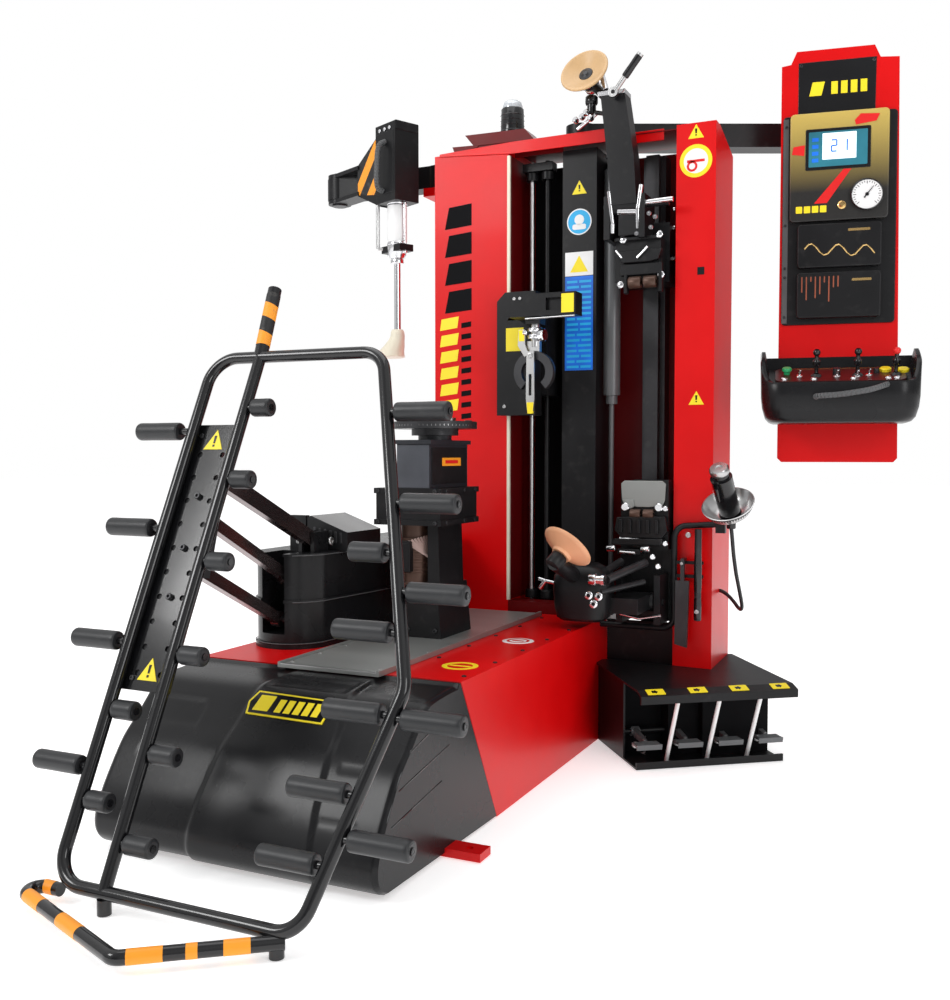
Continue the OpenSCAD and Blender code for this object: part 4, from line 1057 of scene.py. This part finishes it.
def make_lower_details():
    own = upright(537, 372, 0)
    prism([(-72, 800), (-64, 782), (-20, 776), (20, 776), (64, 782), (72, 800), (75, 852),
           (64, 862), (-64, 862), (-75, 852)], 0, 6, own)
    prism([(-70, 800), (-62, 782), (-40, 770), (-30, 776), (-30, 800)], 4, 12, own)
    piece("lower_guard", "lower_slide", "plate", bevel=2)
    for x, z in ((480, 776), (592, 776)):
        lathe([(0, 0), (13, 0), (14, 3), (14, 13), (11, 16), (0, 16)],
              aimed((x, 366, z), (0, -1, 0)), 24)
    for x, y, z in ((612, 372, 772), (586, 318, 620), (604, 318, 590), (614, 366, 660)):
        lathe(stud(9, 14), aimed((x, y, z), (0, -1, 0)), 18)
    for x in (446, 560):
        lathe(stud(11, 28), aimed((x - 14, 318, 641), (1, 0, 0.1)), 20)
    bar((462, 352, 672), (536, 352, 670), 5)
    bar((470, 330, 630), (522, 330, 628), 5)
    bar((476, 316, 430), (540, 316, 418), 5)
    bar((540, 316, 418), (612, 316, 432), 5)
    piece("lower_carriage_bolts", "lower_slide", "chrome")
    for x in (496, 540):
        lathe([(6, 0), (15, 0), (16, 3), (16, 31), (15, 34), (6, 34)],
              aimed((x, 362, 754), (1, 0, 0)), 22)
    piece("lower_guide_rollers", "lower_slide", "copper")
    prism([(-84, 742), (76, 748), (84, 700), (66, 676), (-70, 676), (-92, 700)], 0, 22, own)
    prism([(-92, 672), (72, 676), (66, 656), (-98, 652)], 0, 34, own)
    prism([(-76, 640), (0, 640), (0, 622), (-76, 622)], 0, 40, own)
    for k in range(5):
        box((462 + 30 * k, 340, 692), (474 + 30 * k, 351, 736))
    piece("lower_carriage_ribs", "lower_slide", "black", bevel=2)


def make_lower_arm():
    """Head, arms and stem that carry the lower disc."""
    rings = []
    for z, wide, deep in ((424, 66, 52), (434, 80, 64), (470, 88, 70), (530, 92, 72),
                          (566, 88, 70), (592, 66, 56), (604, 44, 40)):
        ring = []
        for k in range(48):
            angle = math.tau * k / 48
            c, n = math.cos(angle), math.sin(angle)
            ring.append((396 + wide * math.copysign(abs(c) ** 0.55, c),
                         190 + deep * math.copysign(abs(n) ** 0.55, n), z))
        rings.append(ring)
    skin(rings)
    box((470, 190, 448), (572, 346, 498))
    lathe([(11.2, 0), (29, 0), (30, 2), (30, 94), (29, 96), (11.2, 96)],
          aimed((487, 350, 470), (1, 0, 0)), 36)
    stem = aimed(joint_place("lower_disc_spin"), JOINTS["lower_disc_spin"]["axis"])
    lathe([(0, -64), (24, -64), (26, -60), (26, -28), (24, -24), (0, -24)], stem, 32)
    lathe([(0, -24), (10, -24), (10, 4), (0, 4)], stem, 24)
    base = stem @ Vector((0, 0, -50))
    bar((380, 165, 560), (base.x, base.y, base.z), 25)
    piece("lower_head", "lower_beam", "black", bevel=3, replaces=["lower_arm"])
    for x0, x1 in ((446, 478), (486, 560)):
        bar((x0, 150, 560), (x1, 320, 600), 13)
    bar((470, 130, 522), (560, 300, 540), 10)
    piece("lower_links", "lower_beam", "dark_steel")
    lathe([(0, 0), (17, 0), (19, 3), (19, 22), (15, 24), (15, 38), (18, 40), (18, 50), (0, 50)],
          aimed((440, 116, 562), (1, 0, 0)), 28)
    bar((318, 150, 540), (282, 150, 546), 6)
    bar((282, 150, 546), (262, 150, 520), 7)
    bar((282, 150, 546), (258, 150, 552), 6)
    for x, z in ((436, 512), (468, 510), (452, 486)):
        lathe([(6, 0), (12, 0), (13, 2), (13, 8), (10, 10), (6, 10)],
              aimed((x, 124, z), (0.1, -1, 0)), 20)
    piece("lower_head_fittings", "lower_beam", "chrome")


# ---- Press arm ----


def make_press_details():
    head_turn = at(HEAD.x, HEAD.y) @ turn(LINK_TURN)
    length = (HEAD - ELBOW).xy.length
    for side in (-1, 1):
        face = LINK @ at(0, side * 30)
        prism([(170, 1915), (length - 62, 1890), (length - 62, 2112), (170, 2019)],
              -0.8 if side < 0 else -0.2, 0.2 if side < 0 else 0.8, face @ turn(90, "X"))
    piece("link_stripes", "press_link_2", "link_hazard")
    box((-50, -53.5, 1880), (50, -50, 2096), head_turn)
    box((-62, -50, 2096), (-50, 50, 2128), head_turn)
    box((50, -50, 2096), (62, 50, 2128), head_turn)
    piece("press_head_plates", "press_link_2", "black", bevel=3)
    path = smooth_line([(-12, -54, 1890), (-12, -78, 1904), (-6, -84, 1970), (0, -80, 2040),
                        (4, -54, 2062)], 6)
    tube(path, 10, head_turn)
    piece("press_grip", "press_link_2", "grey_panel", smooth=60)
    own = at(HEAD.x, HEAD.y)
    lathe([(34.3, 1701), (34.6, 1702), (34.6, 1848), (34.3, 1849)], own, 40)
    lathe([(12.2, 1635.5), (23, 1635.5), (24, 1638), (24, 1650), (22, 1653)], own, 36)
    for z in (1700, 1846):
        lathe([(22.5, z), (36, z), (37, z + 2), (37, z + 8), (36, z + 10), (22.5, z + 10)],
              own, 36)
    for x in (-46, 46):
        bar((x, 0, 1672), (x, 0, 1850), 5.6, head_turn)
        bolt((x, 0, 1676), (0, 0, -1), 9, 8, head_turn)
    lathe([(12.4, 1652), (26, 1654), (34, 1672), (36, 1699), (22.5, 1700)], own, 36)
    for x in (-30, 0, 30):
        bolt((x, -53, 2106), (0, -1, 0), 7, 4, head_turn)
    piece("press_barrel", "press_link_2", "chrome", bevel=2)
    # White skin over the chrome barrel: painted highlight of the glass-like silver barrel
    lathe([(34.7, 1712), (35.4, 1714), (35.4, 1840), (34.7, 1842)], own, 40)
    piece("press_barrel_painted_highlight", "press_link_2", "white")
    bar((-64, -40, 1694), (-64, -40, 2070), 7, head_turn)
    bar((-64, -40, 1694), (-40, -12, 1690), 6, head_turn)
    piece("press_side_plate", "press_link_2", "steel", bevel=2)
    rings = []
    for z, radius, shift in ((1399, 20, 0), (1392, 24, 0), (1376, 26, 0), (1362, 29, 4),
                             (1340, 38, 13), (1322, 46, 23), (1310, 53, 29), (1301, 56, 30),
                             (1298.5, 50, 30)):
        middle = Vector((HEAD.x - shift, HEAD.y - shift * 0.2, 0))
        rings.append([middle + round_point(9 * k, radius, z) for k in range(40)])
    skin(rings)
    piece("press_foot_skin", "press_foot", "ivory", replaces=["press_cone"])
    for z in (1906, 2022):
        lathe([(0, z), (28, z), (30, z + 2), (30, z + 4), (28, z + 6), (0, z + 6)],
              at(ELBOW.x, ELBOW.y), 32)
    piece("elbow_caps", "press_link_2", "dark_steel")


# ---- Rack, gun and pedals ----

HOSE_ROUTE = [
    (830, 330, 716), (832, 334, 690), (833, 342, 660), (834, 352, 630), (836, 362, 600),
    (838, 374, 570), (841, 388, 540), (844, 402, 510), (846, 418, 482), (845, 436, 460),
    (838, 456, 448), (826, 474, 450), (812, 490, 462), (796, 502, 476), (780, 510, 488),
    (766, 514, 495), (756, 516, 498),
]


def make_hose():
    """Air hose from the gun down and back to the column, one smooth curve."""
    points = smooth_line(HOSE_ROUTE, 3)
    data = bpy.data.curves.new("air_hose_line", "CURVE")
    data.dimensions = "3D"
    data.bevel_depth = 0.006
    data.bevel_resolution = 5
    data.use_fill_caps = True
    line = data.splines.new("POLY")
    line.points.add(len(points) - 1)
    for slot, point in zip(line.points, points):
        slot.co = (*(point * MM), 1)
    line.use_smooth = True
    hose = bpy.data.objects.new("air_hose_line", data)
    bpy.context.scene.collection.objects.link(hose)
    data.materials.append(MATERIALS["rubber"])
    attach(hose, "machine")
    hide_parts("air_hose")


def make_rack_details():
    own = at(828, 330, 760) @ turn(-6, "Y") @ turn(37, "X")
    lathe([(0, 7.4), (28, 7.4), (32, 12), (33, 20), (33, 140), (34, 146), (34, 149), (26, 150),
           (26, 165)], own, 40)
    lathe([(0, -17), (11, -17), (11, 7.4)], own, 28)
    lathe([(0, 716.4), (12, 716.4), (14, 719), (14, 744), (12, 747.6), (0, 747.6)], at(830, 330),
          28)
    bar(own @ Vector((-14, -34, 132)), own @ Vector((-14, -36, 84)), 5)
    piece("gun_body", "machine", "gloss_black", replaces=["air_gun"])
    lathe([(26, 166), (28, 166), (30, 169), (30, 182), (26, 187.4), (12, 187.8), (10, 184),
           (0, 184)], own, 36)
    piece("gun_cap", "machine", "steel")
    lathe([(16.2, -0.4), (40, 1.6), (66, 15.6), (81.6, 43.6), (82, 44.4), (78.6, 45.4),
           (63, 20.4), (40, 7.3), (35, 7)], own, 56)
    piece("bowl_skin", "machine", "steel")
    bolt((688, 362, 690), (0, -1, 0), 9, 6)
    bolt((722, 339, 448), (0, -1, 0), 7, 5)
    bolt((672, 340, 600), (0, -1, 0), 5, 4)
    piece("rack_bolts", "machine", "steel")
    lathe([(0, 418), (9, 418), (12, 424), (12.4, 470), (10.5, 500), (12.4, 530), (12.4, 600),
           (9, 690), (11, 704), (8, 711), (0, 711)], at(722, 350), 24)
    piece("lever_grip", "machine", "gloss_black")


PEDAL_PITCH = 133
PEDAL_SLOPE = 19


def label_place(k):
    """Frame of a pedal's label on the sloping edge of the cover."""
    return PEDALS @ at(40 + PEDAL_PITCH * k, -104, 245.6) @ turn(PEDAL_SLOPE, "X")


def make_pedal_details():
    for k in range(4):
        prism(rounded(28, 15, 2), 0, 1.2, label_place(k))
    piece("pedal_labels", "machine", "yellow")
    for k in range(4):
        prism([(-12, -6), (-2, -6), (-2, -10), (8, 0), (-2, 10), (-2, 6), (-12, 6)], 1.1, 1.7,
              label_place(k))
    piece("pedal_label_marks", "machine", "gloss_black")
    # Near-black sheets on the walls inside the pedal bays: painted shade
    box((8, 120, 6.5), (150, 122, 236), PEDALS)
    box((148, 60, 6.5), (252, 62, 236), PEDALS)
    box((250, 30, 6.5), (472, 32, 236), PEDALS)
    box((148, 61, 6.5), (150, 121, 236), PEDALS)
    box((250, 31, 6.5), (252, 61, 236), PEDALS)
    piece("pedal_bay_painted_shade", "machine", "dark", bevel=0.3)
    for k in range(1, 4):
        x = k * PEDAL_PITCH - 19
        bar((x, -8, 6), (x, -106, 230), 6.5, PEDALS)
        lathe([(0, 0), (9, 0), (9, 10), (0, 10)], PEDALS @ aimed((x, -104, 226), (0, -0.4, 0.9)),
              16)
    piece("pedal_bars", "machine", "white")
    for k in range(4):
        x = 48 + PEDAL_PITCH * k
        for j in range(5):
            box((x - 38, -36 + j * 8, 68), (x + 38, -32 + j * 8, 70.5), PEDALS)
        box((x - 41, -41, 60), (x + 41, -38, 70), PEDALS)
        piece(f"pedal_pad_{k + 1}", f"pedal_lever_{k + 1}", "grey_paint", bevel=0.8)
        bolt((x, 4, 72), (0, 0, 1), 6, 4, PEDALS)
        lathe(stud(10, 18), PEDALS @ aimed((x - 30, 8, 60), (0, -1, 0.1)), 18)
        piece(f"pedal_stud_{k + 1}", f"pedal_lever_{k + 1}", "steel")
        path = [(x + 22 + 7 * math.cos(0.7 * i), 70 + 7 * math.sin(0.7 * i), 8 + 1.3 * i)
                for i in range(46)]
        tube(path, 1.6, PEDALS, 8, 0.1)
        piece(f"pedal_spring_{k + 1}", "machine", "steel", smooth=60)


# ---- Console ----

PANEL = CONSOLE @ turn(90, "X")


def pad(x, z, back, face, outline):
    """Flat shape on the console's panel, between two distances from it."""
    prism(outline, back, face, PANEL @ at(x, z))


def make_console_details():
    prism([(-142, 2046), (96, 2046), (98, 2226), (-142, 2226)], 0, 2, PANEL)
    piece("console_sign", "console", "gloss_black", bevel=1)
    prism([(-108, 2116), (-70, 2116), (-60, 2160), (-98, 2160)], 2, 3, PANEL)
    for k in range(4):
        x = -40 + k * 30
        prism([(x, 2118), (x + 20, 2118), (x + 20, 2158), (x, 2158)], 2, 3, PANEL)
    piece("console_sign_blocks", "console", "yellow")
    pad(-12, 1714, 0, 7, rounded(176, 340, 12))
    piece("console_back_plate", "console", "black", bevel=3)
    prism([(-187, 1380), (-170, 1380), (-170, 2046), (-187, 2046)], 6.5, 8, PANEL)
    piece("console_side_strip", "console", "grey_panel", bevel=0.6)
    for x in (-134, 90):
        for z in (2056, 2216):
            bolt((x, z, 2), (0, 0, 1), 5, 3, PANEL)
    for z in (1400, 1530, 1560, 1700, 2020):
        bolt((-178, z, 8), (0, 0, 1), 5, 2, PANEL)
    piece("console_screws", "console", "dark_steel")
    pad(-14, 1880, 7, 30, rounded(152, 174, 14))
    piece("dashboard", "console", "dash_fade", bevel=4)
    for k, (low, high) in enumerate(((1555, 1696), (1392, 1540))):
        pad(-10, (low + high) / 2, 7, 36, rounded(130, (high - low) / 2, 12))
        piece(f"console_box_{k + 1}", "console", "black", bevel=5)
    wave = [(-118 + 12 * i, 1616 + 18 * math.sin(i * 0.9) - i * 0.8, 36.4) for i in range(19)]
    tube(wave, 2.4, PANEL, 6, 0.1)
    pad(50, 1672, 36, 37, rounded(34, 4, 3))
    pad(60, 1512, 36, 37, rounded(30, 4, 3))
    piece("console_box_lines", "console", "brass")
    for i in range(9):
        x = -124 + 14 * i
        reach = 50 + 34 * math.sin(2.3 * i)
        pad(x, 1526 - reach / 2, 36, 36.8, rounded(2, reach / 2, 1.5))
    piece("console_box_bars", "console", "rust")
    pad(-18, 1935, 30, 32, rounded(100, 66, 5))
    piece("screen_bezel", "console", "gloss_black", bevel=1)
    pad(-18, 1935, 32, 32.8, rounded(90, 56, 3))
    piece("screen_glass", "console", "screen")
    pad(-14, 1943, 32.8, 33.3, rounded(52, 42, 2))
    piece("screen_page", "console", "screen_page")
    for x, strokes in ((-30, "abged"), (2, "bc")):
        for stroke in strokes:
            dx, dz, wide, tall = {"a": (0, 18, 8, 2), "b": (8, 9, 2, 9), "c": (8, -9, 2, 9),
                                  "d": (0, -18, 8, 2), "e": (-8, -9, 2, 9),
                                  "g": (0, 0, 8, 2)}[stroke]
            pad(x + dx, 1944 + dz, 33.3, 33.9, rounded(wide, tall, 1))
    for k in range(4):
        pad(-88, 1900 + 22 * k, 32.8, 33.6, rounded(10, 6, 1))
    piece("screen_figures", "console", "blue")
    prism([(-160, 1924), (-122, 1918), (-120, 1952), (-156, 1948)], 30, 31.5, PANEL)
    prism([(36, 2006), (98, 2014), (108, 2036), (50, 2040), (32, 2020)], 30, 31.5, PANEL)
    prism([(0, 1868), (24, 1868), (-50, 1762), (-90, 1762)], 30, 31, PANEL)
    piece("dashboard_accents", "console", "button_red")
    for k in range(4):
        pad(-136 + 25 * k, 1744, 30, 31, rounded(10, 11, 2))
    piece("dashboard_blocks", "console", "yellow")
    own = PANEL @ at(72, 1781)
    lathe([(0, 30), (46, 30), (46, 42), (48, 45), (50, 43), (50, 30)], own, 56)
    piece("gauge_rim", "console", "gloss_black")
    lathe([(0, 41), (45.8, 41), (45.8, 40)], own, 56)
    piece("gauge_face", "console", "white")
    for k in range(25):
        spoke = own @ turn(-135 + 270 * k / 24)
        long = 9 if k % 4 == 0 else 5
        box((-0.8, 42 - long, 41), (0.8, 42, 41.6), spoke)
    needle = own @ turn(-38)
    prism([(-2.4, -14), (2.4, -14), (0.6, 32), (-0.6, 32)], 42, 43, needle)
    lathe([(0, 44), (5, 44), (6, 42), (6, 41)], own, 20)
    piece("gauge_ticks", "console", "gloss_black")
    lathe([(0, 46), (7, 46), (9, 44), (9, 36), (13, 34), (13, 30)], PANEL @ at(-4, 1753), 28)
    piece("dashboard_knob", "console", "brass")


def make_tray():
    """Moulded control tray with two horns, a sloping face and a grab bar."""
    half, depth, corner = 240, 190, 70
    steps = 14
    outline = [(-half, 0)]
    for side, first in ((-1, 180), (1, 270)):
        for i in range(steps + 1):
            point = round_point(first + 90 * i / steps, corner, 0)
            outline.append((side * (half - corner) + point.x, corner - depth + point.y))
    outline.append((half, 0))
    dense = []
    for a, b in zip(outline, outline[1:]):
        count = max(1, int((Vector(b) - Vector(a)).length // 14))
        dense += [tuple(Vector(a).lerp(Vector(b), i / count)) for i in range(count)]
    dense.append(outline[-1])
    own = CONSOLE @ at(-8, -1)

    def rim(x, y):
        side = ease(abs(x), 150, 214)
        return 1176 + 66 * ease(y, -190, 0) + 58 * side * ease(y, -182, -110) * (
            1 - 0.55 * ease(y, -60, 0))

    rings = []
    for level, shrink in ((1047, 0.84), (1052, 0.9), (1066, 0.95), (1096, 0.985), (1130, 1.0),
                          (0, 1.01), (1, 0.995), (2, 0.95)):
        ring = []
        for x, y in dense:
            top = rim(x, y)
            z = {0: top - 8, 1: top - 1, 2: top - 1}.get(level, level)
            ring.append(own @ Vector((x * shrink, y * shrink, z)))
        rings.append(ring)
    rings.append([own @ Vector((x * 0.9, y * 0.93 - 2, 1160 + 70 * ease(y, -190, 0)))
                  for x, y in dense])
    skin(rings)
    piece("tray_shell", "console", "cover", replaces=["control_tray"], smooth=50)
    slope = own @ at(0, -104, 1203) @ turn(20.2, "X")
    prism(rounded(196, 74, 30, 8), -6, 1, slope)
    piece("tray_panel", "console", "tray_panel", bevel=0.6)
    prism([(-150, 62), (150, 62), (170, 70), (-170, 70)], 1, 1.6, slope)
    piece("tray_gold_line", "console", "brass")
    for x in (-168, -78, 40, 142, 168):
        lathe([(0, 7), (6, 7), (9, 5), (10, 1)], slope @ at(x, -52), 20)
    for x, y in ((-122, -16), (-8, -22), (88, -14), (52, -26)):
        lathe([(0, 4), (9, 4), (11, 1)], slope @ at(x, y), 20)
        bar((x, y, 3), (x + 4, y - 4, 22), 3.4, slope)
    piece("tray_switches", "console", "chrome")
    lathe([(0, 20), (11, 20), (12, 16), (12, 1)], slope @ at(-8, 2), 24)
    lathe([(0, 16), (8, 16), (9, 12), (9, 1)], slope @ at(112, 8), 24)
    for x in (-70, 54, 168):
        lathe([(8, 9), (14, 6), (17, 1)], slope @ at(x, -16), 28)
    piece("tray_boots", "console", "rubber")
    lathe([(0, 22), (13, 22), (15, 19), (15, 12), (10, 8), (10, 1)], slope @ at(-160, 10), 28)
    piece("tray_green_knob", "console", "green")
    for x in (140, 192):
        lathe([(0, 12), (15, 12), (18, 9), (18, 1)], slope @ at(x, 26 if x < 180 else 18), 28)
    piece("tray_yellow_buttons", "console", "yellow")
    path = smooth_line([(-72, -189, 1128), (-66, -206, 1130), (0, -214, 1134), (80, -212, 1146),
                        (126, -204, 1160), (136, -188, 1164)], 6)
    tube(path, 9, own)
    piece("tray_grab_bar", "console", "grey_panel", smooth=60)


def make_joysticks():
    for name, ball in (("left", "gloss_black"), ("middle", "gloss_black"),
                       ("right", "button_red")):
        place = joint_place(f"stick_tilt_{name}")
        own = at(*place) @ CONSOLE.to_3x3().to_4x4() @ turn(24, "X")
        lathe([(0, -8), (6, -6), (9, 0), (6, 8), (6, 30), (11, 34), (12, 46), (7, 52), (6.4, 66),
               (9, 72)], own, 28)
        piece(f"joystick_{name}_stem", f"stick_{name}", "gloss_black",
              replaces=[f"joystick_{name}"])
        lathe([(6.4, 66), (9.5, 68), (11.6, 74), (11, 80), (7, 84.4), (0, 85)], own, 28)
        piece(f"joystick_{name}_ball", f"stick_{name}", ball)


make_camera()
make_hose()
make_stage()
paint_nodes()
make_rollers()
make_lift_details()
make_front_cover()
make_base_details()
make_column_details()
make_beacon()
make_casing_details()
make_tower_details()
make_tool_details()
make_disc("upper_disc", "upper_wheel", "upper_disc_spin")
make_disc("lower_disc", "lower_wheel", "lower_disc_spin", "peach")
make_upper_details()
make_lower_details()
make_lower_arm()
make_press_details()
make_rack_details()
make_pedal_details()
make_console_details()
make_tray()
make_joysticks()
